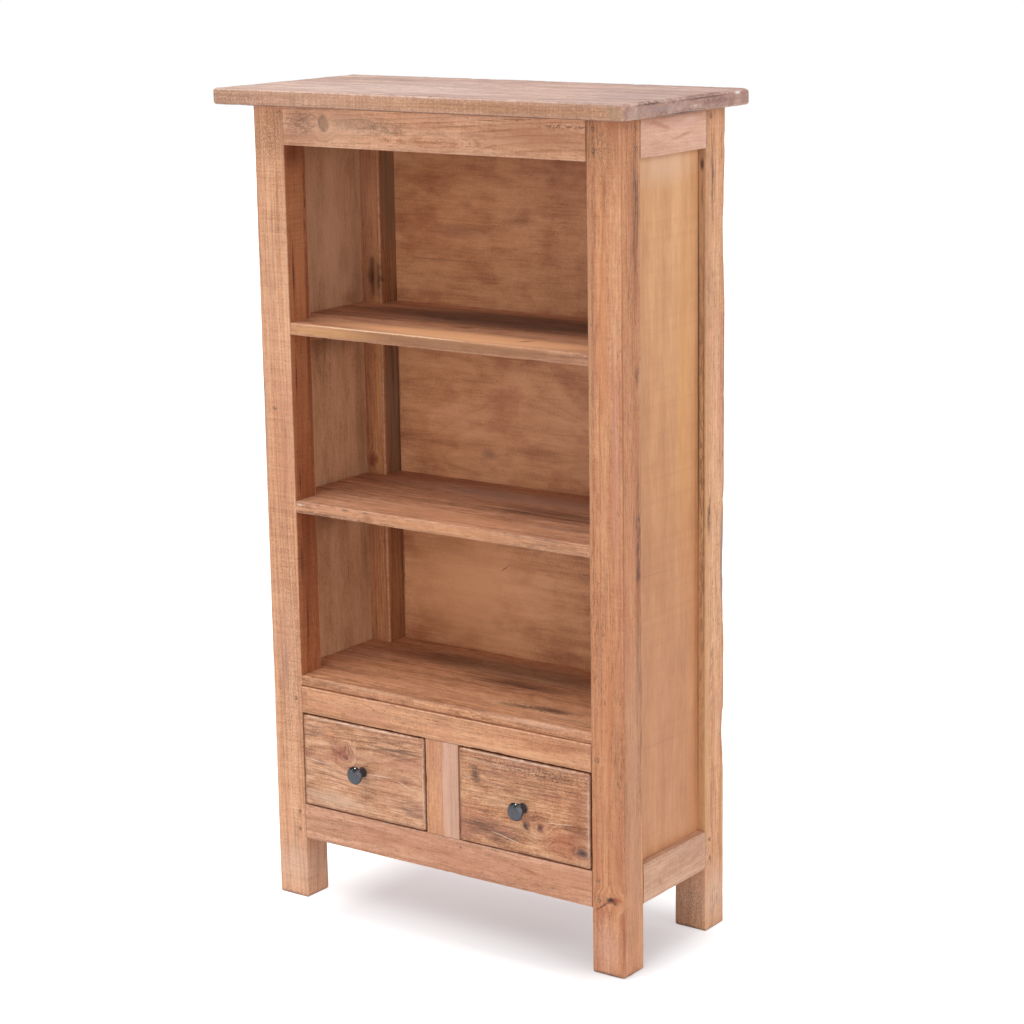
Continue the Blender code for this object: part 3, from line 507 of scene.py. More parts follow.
def makePlywood(name, facts, low, high):
    facts = {**plyFacts, **facts}
    run = facts["run"]
    centre = alongGrain(run, (low + high) / 2)
    shift = seedStep * facts["seed"]
    material, tree, shader, board = startMaterial(name, centre, run)
    noises = {}
    for label, scale, detail in (
            ("wave", facts["waves"], 1.5), ("bands", (1.1, 34, 34), 2.0), ("clouds", facts["cloudSize"], 4.0),
            ("fibres", (22, 300, 300), 3.0), ("grain", (260, 480, 480), 1.0),
            ("patch", facts["patchSize"], 4.0), ("rough", (150, 150, 150), 2.0),
            ("saw", (85, 1.6, 1.6), 2.0)):
        spread = addNode(
            tree, "Mapping", {"Location": shift * (1 + noiseStep * len(noises)), "Scale": scale},
            {"Vector": board})
        noises[label] = addNode(
            tree, "TexNoise", {"Scale": 1.0, "Detail": detail, "Roughness": 0.6}, {"Vector": spread})
    ragged = addNode(
        tree, "VectorMath", {"operation": "MULTIPLY_ADD", 1: markRagged},
        {0: (noises["rough"], "Color"), 2: board})

    # Contours of a slow noise, as the lathe knife peels them
    contour = addNode(tree, "Math", {"operation": "MULTIPLY", 1: facts["contours"]}, {0: noises["wave"]})
    contour = addNode(tree, "Math", {"operation": "FRACT"}, {0: contour})
    figure = addNode(tree, "ValToRGB", {"stops": [
        (0.0, (0.15, 0.15, 0.15, 1)), (1.0, (0.1, 0.1, 0.1, 1)), (0.4, (0.35, 0.35, 0.35, 1)),
        (0.8, (1, 1, 1, 1)), (0.92, (0.45, 0.45, 0.45, 1))]}, {0: contour})
    tone = addNode(tree, "Math", {"operation": "MULTIPLY_ADD", 1: facts["figure"], 2: 0.40}, {0: figure})
    shares = [(noises[label], facts[label]) for label in ("bands", "clouds", "fibres", "grain")]
    colour = bodyColour(tree, facts, tone, shares)

    # Blotches, and faint marks that the peeling knife left across the grain, 10 to 20 mm apart
    for label, most, share in (("patch", 0.68, facts["blotches"]), ("saw", 0.72, facts["lines"])):
        cover = addNode(
            tree, "MapRange", {"From Min": 0.50, "From Max": most, "To Max": share}, {"Value": noises[label]})
        colour = addNode(
            tree, "Mix", {"data_type": "RGBA", 7: hexColour(facts["blotch"])}, {0: cover, 6: colour})
    height = addNode(tree, "Math", {"operation": "MULTIPLY_ADD", 1: -0.4, 2: 0.5}, {0: noises["fibres"]})
    layers = {"grains": noises["grain"], "streaks": noises["fibres"]}
    colour, height = layMarks(tree, facts, centre, board, ragged, layers, colour, height)
    bump = addNode(tree, "Bump", {"Strength": 0.35, "Distance": facts["reliefDepth"]}, {"Height": height})
    shine = addNode(
        tree, "MapRange", {"From Min": 0.3, "From Max": 0.7, "To Min": 0.46, "To Max": 0.62},
        {"Value": noises["fibres"]})
    shader.inputs["IOR"].default_value = 1.5
    tree.links.new(colour.outputs[2], shader.inputs["Base Color"])
    tree.links.new(shine.outputs[0], shader.inputs["Roughness"])
    tree.links.new(bump.outputs[0], shader.inputs["Normal"])
    return material


# Noises that shape the wood: a long bow, small hollows, chips out of the arrises and a wavy bark edge
bowShape = bpy.data.textures.new("longBow", "CLOUDS")
bowShape.noise_scale = 0.34
hollowShape = bpy.data.textures.new("smallHollows", "CLOUDS")
hollowShape.noise_scale = 0.028
chipShape = bpy.data.textures.new("arrisChips", "CLOUDS")
chipShape.noise_scale = 0.019
chipShape.use_color_ramp = True
chipShape.color_ramp.elements[0].position = 0.60
chipShape.color_ramp.elements[1].position = 0.85
waneShape = bpy.data.textures.new("barkEdge", "CLOUDS")
waneShape.noise_scale = 0.065


def middleOf(node):
    low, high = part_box(node)
    return (low + high) / 2


def startBoard(name, low, high):
    bpy.ops.object.select_all(action="DESELECT")
    bpy.ops.mesh.primitive_cube_add(size=1, location=(low + high) / 2)
    board = bpy.context.object
    board.name = name
    board.data.name = name
    board.scale = high - low
    bpy.ops.object.transform_apply(location=True, rotation=False, scale=True)
    return board


# Selects the edges that a test picks, in edit mode
def pickEdges(board, test):
    shape = bmesh.from_edit_mesh(board.data)
    for face in shape.faces:
        face.select_set(False)
    for edge in shape.edges:
        edge.select_set(False)
    found = 0
    for edge in shape.edges:
        if test(edge):
            edge.select_set(True)
            found += 1
    bmesh.update_edit_mesh(board.data)
    return found


longestEdge = 1.6    # in cells: a longer edge is cut
alongAxis = 0.9999    # share of its length that an edge runs along an axis, to count as along it
sameLength = 1.1e-5    # in m: edges this close in length are cut together


# Cuts every long edge into short lengths, so that wear can shape the board
def cutFine(board, cell):
    bpy.ops.object.mode_set(mode="EDIT")
    bpy.ops.mesh.select_mode(type="EDGE")
    for axis in range(3):
        shape = bmesh.from_edit_mesh(board.data)
        lengths = set()
        for edge in shape.edges:
            step = edge.verts[1].co - edge.verts[0].co
            if step.length > longestEdge * cell and abs(step[axis]) > alongAxis * step.length:
                lengths.add(round(step.length, 5))
        for length in sorted(lengths):
            found = pickEdges(board, lambda edge: (
                abs(edge.calc_length() - length) < sameLength
                and abs(edge.verts[1].co[axis] - edge.verts[0].co[axis]) > alongAxis * edge.calc_length()))
            if found:
                bpy.ops.mesh.subdivide(number_cuts=max(1, round(length / cell) - 1))
    bpy.ops.object.mode_set(mode="OBJECT")


# Rounds edges: a rule looks at the two ends of each and gives its share of the width
def roundEdges(board, width, steps, rule):
    weights = board.data.attributes.new("bevel_weight_edge", "FLOAT", "EDGE")
    for edge in board.data.edges:
        weights.data[edge.index].value = rule(*[board.data.vertices[i].co for i in edge.vertices])
    bevel = board.modifiers.new("easedArrises", "BEVEL")
    bevel.limit_method = "WEIGHT"
    bevel.width = width
    bevel.segments = steps
    bpy.ops.object.modifier_apply(modifier=bevel.name)


# Pushes a surface in and out along a noise
def pushSurface(piece, label, shape, depth, level=0.5, group=""):
    push = piece.modifiers.new(label, "DISPLACE")
    push.texture = shape
    push.texture_coords = "LOCAL"
    push.direction = "NORMAL"
    push.strength = depth
    push.mid_level = level
    push.vertex_group = group
    bpy.ops.object.modifier_apply(modifier=label)


barkEdge = {"width": 0.016, "depth": 0.0060}    # where the saw met the outside of the tree


# Bows the board, dents its faces, chips its arrises and takes the bark edge off
def wearBoard(board, facts, low, high):
    reach = 1.1 * max(facts["ease"], facts["endEase"])
    arris = board.vertex_groups.new(name="arris")
    worn = []
    for vert in board.data.vertices:
        gaps = sorted(min(abs(vert.co[i] - low[i]), abs(vert.co[i] - high[i])) for i in range(3))
        if gaps[1] < reach:
            worn.append(vert.index)
    arris.add(worn, 1.0, "REPLACE")
    bark = board.vertex_groups.new(name="bark")
    for vert in board.data.vertices:
        inwards = (high.x - vert.co.x) + (high.y - vert.co.y)
        for level, length in facts["wane"]:
            share = (1 - inwards / barkEdge["width"]) * (1 - abs(vert.co.z - level) / length)
            if inwards < barkEdge["width"] and share > 0:
                bark.add([vert.index], share, "REPLACE")
    pushSurface(board, "bow", bowShape, facts["bow"])
    pushSurface(board, "hollows", hollowShape, facts["hollows"])
    if facts["chips"]:
        pushSurface(board, "chips", chipShape, -facts["chips"], 0.0, "arris")
    if facts["wane"]:
        pushSurface(board, "barkEdge", waneShape, -barkEdge["depth"], 0.0, "bark")
    board.vertex_groups.clear()


smoothAngle = radians(40)    # an edge that turns more than this stays crisp


def finishPiece(piece, facts, material):
    piece.data.materials.clear()
    piece.data.materials.append(material)
    bpy.ops.object.shade_smooth_by_angle(angle=smoothAngle)
    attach(piece, facts["body"])
    if facts.get("node"):
        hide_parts(facts["node"])


boardFacts = {
    "body": "carcass", "slot": "frame_pine", "run": "x", "ease": 0.0016, "endEase": 0.0004, "easeSteps": 3,
    "cell": 0.006, "bow": 0.0007, "hollows": 0.0005, "chips": 0.0012, "trim": 0.0, "kind": "pine", "wane": (),
}
samePlane = 1e-5    # in m: corners this close along an axis lie in one plane
finished = []    # names of the boards made


# A plain board in place of its CAD node; trim takes the tenons off its ends
def makeBoard(name, facts):
    facts = {**boardFacts, **facts}
    low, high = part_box(facts["node"])
    run = "xyz".index(facts["run"])
    low[run] += facts["trim"]
    high[run] -= facts["trim"]
    board = startBoard(name, low, high)
    ease, endEase = facts["ease"], facts["endEase"]
    widest = max(ease, endEase)
    roundEdges(board, widest, facts["easeSteps"], lambda one, other: (
        (ease if abs(one[run] - other[run]) > samePlane else endEase) / widest))
    cutFine(board, facts["cell"])
    wearBoard(board, facts, low, high)
    wood = {**facts["wood"], "run": facts["run"]}
    if facts["kind"] == "pine":
        material = makePine(name + "Pine", wood, low, high)
    else:
        material = makePlywood(name + "Plywood", wood, low, high)
    finishPiece(board, facts, material)
    finished.append(name)


def inMetres(lengths):
    return [c / 1000 for c in lengths]


# A mark on a board: place and half sizes in mm, how far it covers the wood, and its colour if not grime
def markAt(place, size, amount, colour=None, **more):
    row = {"place": inMetres(place), "size": inMetres(size), "amount": amount, **more}
    return {**row, "colour": colour} if colour else row


# A knot in a board, in mm: its place, its half sizes, and how far it swells the rings
def knotAt(place, size, swell, **more):
    return {"place": inMetres(place), "size": inMetres(size), "swell": swell / 1000, **more}


# Posts
# Round each peg the post gets a dark ring, painted shade of the gap round the peg, sunk a little by the bump
pegMark = {"size": (0.0060, 0.0048, 0.0048), "amount": 0.85, "core": 0.5, "deep": 0.4, "only": "grains"}

frontLeftPost = {
    "node": "front_left_post", "run": "z", "ease": 0.0018, "endEase": 0.0040, "chips": 0.0004,
    "hollows": 0.0004,
    "wood": {
        "seed": 2.1, "pith": (0.045, 0.075), "freeEnds": True, "light": "#ECBA93", "amber": "#DDA47E",
        "dark": "#B27A57", "flush": "#D39A7C", "grime": "#6A5248", "pores": 0.3, "soil": 0.3, "grain": 0.56,
        "wear": 0.3, "streaks": 0.15, "fibres": 0.30, "sawn": 0.32,
        "marks": [
            # Painted shade: these two darken the inner face of the post, inside the case
            markAt((-278, -92.5, 790), (500, 24.5, 6), 1.0, tint="#C8A990", core=0.94, square=True),
            markAt((-278, -92.5, 620), (260, 24.5, 6), 1.0, tint="#D8C4B8"),
            markAt((-278, -92.5, 1100), (80, 24.5, 6), 0.30, "#4E2E1E", only="saw"),
            markAt((-278, -92.5, 1080), (140, 24.5, 6), 0.3, "#D8956A"),
            markAt((-278, -73, 1120), (140, 5, 6), 0.8, "#3E2018", only="flecks"),
            # Painted shade: darker towards the back edge of the inner face
            markAt((-278, -74, 800), (480, 6, 6), 0.5, tint="#9A7E70"),
            markAt((-278, -104.5, 1014), (65, 3, 6), 0.9, "#3E2016"),
            markAt((-278, -105.5, 853), (42, 2.2, 5), 0.9, "#3A1E14"),
            markAt((-278, -105, 690), (30, 2, 5), 0.9, "#3A1E14"),
            markAt((-278, -92.5, 50), (60, 30, 6), 0.8, tint="#EBE0E2"),
            markAt((-306, -119, 720), (240, 20, 50), 0.8, tint="#F0E6E0"),
            markAt((-278, -107, 560), (45, 4, 5), 0.7, "#4A2A1C"),
            markAt((-278, -97, 461), (60, 3, 5), 0.7, "#3A241B"),
            # Painted shade: the top of the inner face darkened and reddened
            markAt((-278, -98, 1200), (35, 30, 6), 0.6, tint="#8A5040"),
            markAt((-307, -119, 1230), (60, 12, 34), 0.7, "#96664F", only="grains"),
            markAt((-284, -119, 1262), (10, 12, 12), 0.6, "#6E3F30", only="grains"),
            markAt((-312.3, -119, 804.1), (3.5, 2.5, 6), 0.8),
            markAt((-331, -119, 860), (260, 12, 6), 0.4, "#9A8682", only="streaks"),
            markAt((-302, -119, 360), (80, 12, 16), 0.6, "#7E6A64", only="streaks"),
            markAt((-300, -119, 400), (300, 12, 24), 0.35, "#866A5C", only="grains"),
            markAt((-296, -119, 70), (75, 12, 10), 0.4, only="streaks"),
            markAt((-306, -100, 50), (60, 60, 60), 0.35, "#EBCDBB"),
            markAt((-306, -100, 1), (6, 60, 60), 0.7, "#5A4A48"),
        ]},
}
frontRightPost = {
    "node": "front_right_post", "run": "z", "ease": 0.0020, "endEase": 0.0040, "chips": 0.0006,
    "hollows": 0.0004,
    "wood": {
        "seed": 5.3, "pith": (0.055, -0.02), "freeEnds": True, "light": "#DBA47A", "amber": "#CA8C64",
        "dark": "#9F643F", "flush": "#C4825F", "bloom": "#DDAE92", "wear": 0.25,
        "knots": [
            knotAt((335, -77.9, 906.6), (12, 4, 20), 4),
            knotAt((335, -77.7, 614.8), (12, 4, 20), 4),
            knotAt((312.3, -119, 120.7), (5.6, 6, 10), 3, heart="#5A2418", rim="#1C100D", strength=1.0,
                reach=5.0),
        ],
        "marks": [
            markAt((306, -119, 360), (500, 30, 60), 0.8, tint="#F0E6E0", core=0.5),
            markAt((335, -92.5, 660), (620, 26.5, 6), 1.0, tint="#F3EEE6", core=0.97, square=True),
            markAt((335, -78, 700), (600, 12, 6), 0.5, tint="#C9B49E"),
            markAt((280.5, -119, 950), (360, 20, 6), 0.40, "#CBA27C"),
            markAt((303, -119, 980), (280, 20, 11), 0.45, "#D18A58"),
            markAt((310, -119, 420), (200, 20, 10), 0.40, "#C2774A"),
            markAt((326, -119, 800), (300, 20, 6), 0.35, "#D29A84"),
            markAt((321.5, -119, 700), (40, 6, 3), 0.45, "#E6BDB0", only="grains"),
            markAt((321.2, -119, 780), (280, 6, 2), 0.45, "#BC8276"),
            markAt((320.5, -119, 840), (22, 6, 3), 0.35, "#E0B4A6", only="grains"),
            markAt((335, -115, 800), (620, 2.8, 4), 0.6, "#91502F"),
            markAt((335, -79, 1120), (130, 11, 10), 0.8, "#5A3C26", only="fibres"),
            markAt((335, -79, 1170), (70, 9, 10), 0.8, "#4A3426", only="flecks"),
            markAt((335, -81, 1120), (140, 11, 10), 0.4, tint="#B8A086"),
            markAt((335, -76, 680), (100, 9, 10), 0.95, "#3C2820", only="flecks"),
            markAt((335, -77, 600), (220, 8, 10), 0.4, tint="#A58A6E"),
            markAt((335, -75, 420), (200, 10, 10), 0.6, "#5E4230", only="fibres"),
            markAt((335, -83, 1194), (22, 1.8, 4), 0.9, "#55535A"),
            markAt((335, -87.5, 699), (24, 1.6, 4), 0.8, "#4B3A33"),
            markAt((335, -81, 1243), (34, 9, 6), 0.8, only="grains"),
            markAt((304, -119, 1238), (38, 12, 26), 0.6, "#8A5C46", only="grains"),
            markAt((321, -119, 123.5), (5.5, 20, 13), 0.7, "#A24F2E"),
            markAt((295.5, -119, 108.5), (2.2, 4, 19), 0.95, "#2E1A14", slant=(0, -36, 0), deep=0.8),
            markAt((289, -119, 120), (12, 8, 8), 0.5, "#9A6650"),
            markAt((293.1, -119, 72), (24, 8, 4.5), 0.7, "#6E4636", only="flecks"),
            markAt((311.3, -119, 121.3), (3.4, 6, 7.2), 0.97, "#1C100D", core=0.4, slant=(0, -20, 0)),
            markAt((334.3, -118.5, 62), (75, 4.5, 3.6), 0.75, "#8A4232"),
            markAt((335, -92.5, 260), (300, 26.5, 6), 0.22, "#C8A68E", core=0.4, square=True),
            markAt((296, -119, 100), (22, 6, 13), 0.45, "#A4553A"),
            markAt((304, -119, 45), (60, 30, 30), 0.4, "#DDAE9C"),
            markAt((300, -119, 55), (80, 20, 34), 0.2, "#8A5A44", only="grains"),
            markAt((306, -100, 1), (6, 60, 60), 0.7, "#5A4038"),
            # Painted shade: a dark line at the top of the side face, under the top board
            markAt((335, -92.5, 1274.8), (2.2, 30, 6), 0.7, "#54382C"),
        ]},
}
backLeftPost = {
    "node": "back_left_post", "run": "z", "ease": 0.0022, "endEase": 0.0040, "chips": 0.0008,
    "wood": {
        "seed": 7.7, "pith": (0.02, 0.06), "rings": 0.5, "freeEnds": True, "light": "#D39A6B",
        "amber": "#BF8359", "dark": "#8E5B42", "flush": "#B0734F", "wear": 0.3,
        "knots": [
            knotAt((-290.5, 110.5, 982), (30, 14, 12), 12, heart="#4C1E16", rim="#2A120E", strength=1.0,
                reach=2.8),
            knotAt((-301.7, 110.5, 681), (9, 8, 8), 5, heart="#8C3F2A"),
        ],
        "marks": [
            # Painted shade: the front face darker next to the left panel
            markAt((-311, 110.5, 780), (480, 20, 14), 0.5, tint="#C09C8E"),
            markAt((-306, 110.5, 1130), (120, 20, 30), 0.3, "#C8987A"),
            markAt((-278, 137, 1130), (140, 30, 10), 0.8, "#A08870"),
            markAt((-278, 137, 780), (170, 30, 10), 0.75, "#968276"),
            markAt((-294, 110.5, 1023), (7, 10, 9), 0.6, "#BC886A"),
            markAt((-294, 110.5, 1012), (4, 10, 8), 0.7, "#7A4636"),
            markAt((-288, 110.5, 860), (400, 20, 6), 0.45, "#DDA062"),
            markAt((-278, 137, 780), (500, 23.5, 10), 0.8, tint="#DEDCD2", core=0.9, square=True),
            markAt((-278, 137, 780), (480, 20, 10), 0.8, "#6A5038", only="streaks"),
            markAt((-278, 150, 780), (500, 6, 10), 0.6, tint="#8A7A6A"),
            markAt((-306, 130, 1), (6, 60, 60), 0.7, "#5A4A48"),
        ]},
}
backRightPost = {
    "node": "back_right_post", "run": "z", "ease": 0.0026, "endEase": 0.0040, "bow": 0.0030, "chips": 0.0014,
    "wane": ((1.10, 0.11), (0.585, 0.12), (0.31, 0.045)),
    "wood": {
        "seed": 9.1, "pith": (0.07, 0.03), "freeEnds": True, "light": "#E4B189", "amber": "#D49A70",
        "dark": "#AF774F", "flush": "#CC9376", "wear": 0.3,
        "knots": [knotAt((325.3, 110.5, 1205.6), (10, 6, 8), 4)],
        "marks": [
            markAt((327, 110.5, 520), (400, 6, 8.5), 0.8, "#C2966A", core=0.9, square=True),
            markAt((327, 110.5, 1100), (200, 6, 8.5), 0.65, "#B08A66", core=0.9, square=True),
            markAt((327, 110.5, 690), (600, 6, 8), 0.6, "#6A4630", only="flecks"),
            markAt((327.5, 110.5, 1192), (13, 6, 4.5), 0.95, "#43251A"),
            markAt((327.5, 110.5, 1150), (30, 6, 1.5), 0.8, "#5A3424"),
            markAt((321, 110.5, 900), (380, 6, 2.5), 0.85, "#4C4032", core=0.5),
            markAt((320.7, 110.5, 400), (280, 6, 1.6), 0.7, "#5A4032"),
            markAt((330.5, 110.5, 780), (500, 6, 1.1), 0.8, "#5A3828"),
            markAt((335, 127, 1170), (90, 9, 6), 0.8, "#5A4032", only="fibres"),
            markAt((335, 129, 1180), (60, 9, 6), 0.7, "#54403A", only="flecks"),
            markAt((335, 127, 1170), (70, 6, 6), 0.3, tint="#A89684"),
            markAt((335, 119, 665), (45, 7, 6), 0.95, "#4E362A", only="flecks"),
            markAt((335, 119, 665), (30, 5, 6), 0.6, tint="#8A7060"),
            markAt((335, 126, 420), (140, 8, 6), 0.6, "#7A5444", only="flecks"),
            markAt((335, 161, 800), (340, 4, 6), 0.8, "#8A5250"),
            markAt((335, 157.5, 585), (90, 4.5, 6), 0.9, "#957672", core=0.6),
            markAt((335, 153, 585), (85, 1.2, 6), 0.8, "#6A4038"),
            markAt((335, 150, 860), (160, 6, 6), 0.4, "#B5686A"),
            markAt((306, 130, 50), (60, 60, 60), 0.35, "#E8C6B4"),
            markAt((335, 137, 60), (70, 30, 6), 0.35, "#E8C4A8"),
            markAt((306, 110.5, 45), (80, 10, 40), 0.5, "#7A5A46", only="grains"),
            markAt((306, 110.5, 35), (50, 10, 34), 0.25, "#7A5844", only="flecks"),
            markAt((335, 135, 45), (40, 20, 10), 0.6, "#85604C", only="flecks"),
            markAt((306, 130, 1), (6, 60, 60), 0.7, "#5A4A48"),
            # Painted shade: a dark line at the top of the side face, under the top board
            markAt((335, 137, 1274.8), (2.2, 30, 6), 0.7, "#54382C"),
        ]},
}

# Pegs sit in pairs beside each rail; the lower one of a pair has no node of its own
postFace = {"front": -0.119, "side": 0.335}
pegPair = {"down": 0.030, "outwards": 0.0012, "backwards": 0.0010}


pegRows = []    # node or none, place on the outer face, direction it faces
for side, sign in (("left", -1), ("right", 1)):
    for level in ("top", "bottom"):
        node = "front_%s_%s_peg" % (side, level)
        peg = middleOf(node)
        lower = peg.z - pegPair["down"]
        pegRows.append((node, (peg.x, postFace["front"], peg.z), "front"))
        pegRows.append((None, (peg.x + sign * pegPair["outwards"], postFace["front"], lower), "front"))
        for end in ("front", "back"):
            node = "%s_%s_%s_peg" % (side, end, level)
            peg = middleOf(node)
            lower = peg.z - pegPair["down"]
            pegRows.append((node, (sign * postFace["side"], peg.y, peg.z), side))
            pegRows.append((None, (sign * postFace["side"], peg.y + pegPair["backwards"], lower), side))
    node = "front_%s_drawer_peg" % side
    peg = middleOf(node)
    pegRows.append((node, (peg.x, postFace["front"], peg.z), "front"))


# Some pegs were cut from pale wood and hardly show: the upper ones of the left front post, and the lower
# ones on the side of the right front post
paleSpots = {"front": -0.11, "side": 0.33, "above": 1.0, "below": 0.3}    # faces and heights, in m


def hidden(spot):
    atLeft = spot[0] < 0 and spot[1] < paleSpots["front"] and spot[2] > paleSpots["above"]
    return atLeft or (spot[0] > paleSpots["side"] and spot[1] < 0 and spot[2] < paleSpots["below"])


pegReach = 0.01    # in m: a peg no farther than this from a post is one of its pegs


for name, facts in (
        ("frontLeftPost", frontLeftPost), ("frontRightPost", frontRightPost),
        ("backLeftPost", backLeftPost), ("backRightPost", backRightPost)):
    low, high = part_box(facts["node"])
    near = [spot for _, spot, _ in pegRows
            if low.x - pegReach < spot[0] < high.x + pegReach
            and low.y - pegReach < spot[1] < high.y + pegReach]
    facts["wood"]["marks"] = facts["wood"]["marks"] + [
        {**pegMark, "place": spot, "amount": 0.2 if hidden(spot) else pegMark["amount"]} for spot in near]
    makeBoard(name, facts)
print("posts made")

# Rails and the stile between the drawers
frontTopRail = {
    "node": "front_top_rail", "trim": 0.030,
    "wood": {
        "seed": 3.3, "pith": (0.05, -0.035), "lean": (1.8, 1.2), "sway": 0.016, "rings": 0.5, "pores": 0.4,
        "streaks": 0.2, "scratch": 0.3, "light": "#FBC8A4", "amber": "#E5AC88", "dark": "#B27C5A",
        "grain": 0.42,
        "knots": [
            knotAt((-197.7, -119, 1250.3), (8.5, 11, 12), 9, heart="#A0694A", rim="#7E4A34", ring=0.3,
                strength=0.9, reach=3.6, push=0.6),
            knotAt((5, -119, 1229), (60, 20, 8.5), 24, strength=0, reach=2.0, push=0.3),
        ],
        "marks": [
            markAt((-197.5, -119, 1249.5), (11, 10, 12.5), 0.75, "#7E5238", core=0.6),
            markAt((-205, -119, 1250.5), (3.6, 10, 10.5), 0.95, "#2A1C18"),
            markAt((-200, -119, 1259), (6.2, 10, 2.6), 0.85, "#3A2620", slant=(0, -38, 0)),
            markAt((-198.5, -119, 1241), (7.5, 10, 3.2), 0.9, "#32201A", slant=(0, 35, 0)),
            markAt((-189.5, -119, 1246), (2.6, 10, 7), 0.6, "#5A3628", slant=(0, 10, 0)),
            markAt((-55, -119, 1231), (130, 20, 14), 0.5, "#B8733F", only="flecks"),
            markAt((-118, -119, 1248.5), (85, 20, 16), 0.75, "#64483A", only="grains", slant=(0, 2, 0)),
            markAt((-105, -119, 1248.5), (110, 20, 15), 0.4, "#6A4E3E", only="flecks", slant=(0, 2, 0)),
            markAt((-100, -119, 1248), (120, 20, 15), 0.35, "#7A5644", only="fibres", slant=(0, 3, 0)),
            markAt((-135, -119, 1253), (75, 20, 13), 0.45, tint="#A88A78", slant=(0, 4, 0)),
            markAt((-243, -119, 1247), (38, 20, 32), 0.75, "#7A5040", only="grains"),
            markAt((-238, -119, 1245), (40, 20, 30), 0.6, "#7E503E", only="flecks"),
            markAt((-225, -119, 1240), (30, 20, 2.2), 0.5, "#7A4A38", slant=(0, -28, 0)),
            markAt((-235, -119, 1256), (28, 20, 2), 0.5, "#7A4A38", slant=(0, -20, 0)),
            markAt((-170, -119, 1247), (120, 20, 40), 0.4, "#EFC4A4"),
            markAt((-246, -119, 1250), (40, 20, 26), 0.35, "#8A5B44"),
            markAt((-235, -119, 1228), (35, 20, 10), 0.4, "#D9A283"),
            markAt((-65, -119, 1239), (60, 20, 3.5), 0.7, only="streaks", slant=(0, 4, 0)),
            markAt((235, -119, 1261.2), (56, 20, 5), 0.95, "#4E3A31", only="grains"),
            markAt((200, -119, 1240), (140, 20, 35), 0.65, "#B87E5B"),
        ]},
}
backTopRail = {"node": "back_top_rail", "trim": 0.030, "wood": {"seed": 4.4}}
leftTopRail = {"node": "left_top_rail", "run": "y", "trim": 0.030, "wood": {"seed": 6.2}}
rightTopRail = {
    "node": "right_top_rail", "run": "y", "trim": 0.030,
    "wood": {
        "seed": 8.6, "light": "#E3BCA5", "amber": "#D5A78F", "dark": "#C08A70", "flush": "#E0B3A2",
        "rings": 0.15, "lean": (-4, 4), "sway": 0.006, "scratch": 0.15, "fibres": 0.26, "pores": 0.1,
        "streaks": 0.0, "mottle": 0.4,
        "marks": [
            markAt((335, -10, 1258), (40, 10, 4.5), 0.5, tint="#D2A898", slant=(0, 14, 0)),
            markAt((335, 45, 1240), (45, 10, 4), 0.5, tint="#D6AC9A", slant=(0, -10, 0)),
            markAt((335, 70, 1262), (30, 10, 6), 0.35, "#F2D2C2"),
            # Painted shade: a dark line along the top of the rail, under the top board
            markAt((335, 20, 1275.2), (100, 2.2, 8), 0.7, "#54382C"),
            markAt((335, -30, 1235), (50, 10, 6), 0.3, "#B5805F")]},
}
drawerRail = {
    "node": "front_drawer_rail", "trim": 0.030,
    "wood": {
        "seed": 10.9, "pith": (0.06, 0.01), "rings": 0.45, "sway": 0.010, "light": "#E2AB83",
        "amber": "#D1966F", "dark": "#A86F49", "grain": 0.4,
        "marks": [
            markAt((-270.5, -119, 347), (7, 4, 6), 0.6, "#8C4B33"),
            markAt((-50, -119, 340.5), (100, 20, 6), 0.4, only="streaks"),
            markAt((220, -119, 335), (90, 20, 20), 0.35, "#B5774F"),
        ]},
}
centreStile = {
    "node": "centre_stile", "run": "z", "trim": 0.015,
    "wood": {
        "seed": 12.7, "pith": (0.06, 0.02), "light": "#E4AE88", "amber": "#D79B73", "dark": "#B57B55",
        "marks": [markAt((17, -119, 237), (130, 30, 20), 0.55, "#D2AE9E", core=0.75),
                  markAt((0, -119, 237), (100, 30, 1.5), 0.5, "#9A644A"),
                  markAt((20, -119, 237), (90, 30, 10), 0.5, "#8A6658", only="streaks")]},
}
frontBottomRail = {
    "node": "front_bottom_rail", "trim": 0.030,
    "wood": {
        "seed": 14.2, "pith": (0.07, 0.01), "sway": 0.012, "rings": 0.4, "light": "#E2AE90",
        "amber": "#D0997B", "dark": "#AC7658",
        "marks": [
            markAt((164, -119, 136), (24, 10, 3.5), 0.8, "#8C4732", slant=(0, 8, 0)),
            markAt((33, -119, 149), (3, 10, 3), 0.8, "#7A3426"),
            markAt((200, -119, 130), (120, 20, 35), 0.4, "#B97B57"),
            markAt((0, -119, 130), (140, 20, 35), 0.8, tint="#EFE8E4"),
            markAt((235, -119, 118), (40, 20, 4), 0.6, "#A25537", only="streaks")],
    },
}
backBottomRail = {"node": "back_bottom_rail", "trim": 0.030, "wood": {"seed": 15.5}}
leftBottomRail = {"node": "left_bottom_rail", "run": "y", "trim": 0.030, "wood": {"seed": 16.6}}
rightBottomRail = {
    "node": "right_bottom_rail", "run": "y", "trim": 0.030, "ease": 0.0034, "bow": 0.0016,
    "wood": {
        "seed": 17.9, "light": "#D7AE93", "amber": "#C69A7E", "dark": "#A97556", "flush": "#C39A84",
        "pores": 0.1, "streaks": 0.05, "fibres": 0.24, "mottle": 0.5, "rings": 0.2,
        "marks": [
            markAt((335, 20, 135), (5, 120, 40), 0.3, "#B09484"),
            markAt((335, -20, 125), (6, 75, 5), 0.45, tint="#B49C90", slant=(6, 0, 0))]},
}
for name, facts in (
        ("frontTopRail", frontTopRail), ("backTopRail", backTopRail), ("leftTopRail", leftTopRail),
        ("rightTopRail", rightTopRail), ("drawerRail", drawerRail), ("centreStile", centreStile),
        ("frontBottomRail", frontBottomRail), ("backBottomRail", backBottomRail),
        ("leftBottomRail", leftBottomRail), ("rightBottomRail", rightBottomRail)):
    makeBoard(name, facts)
print("rails made")
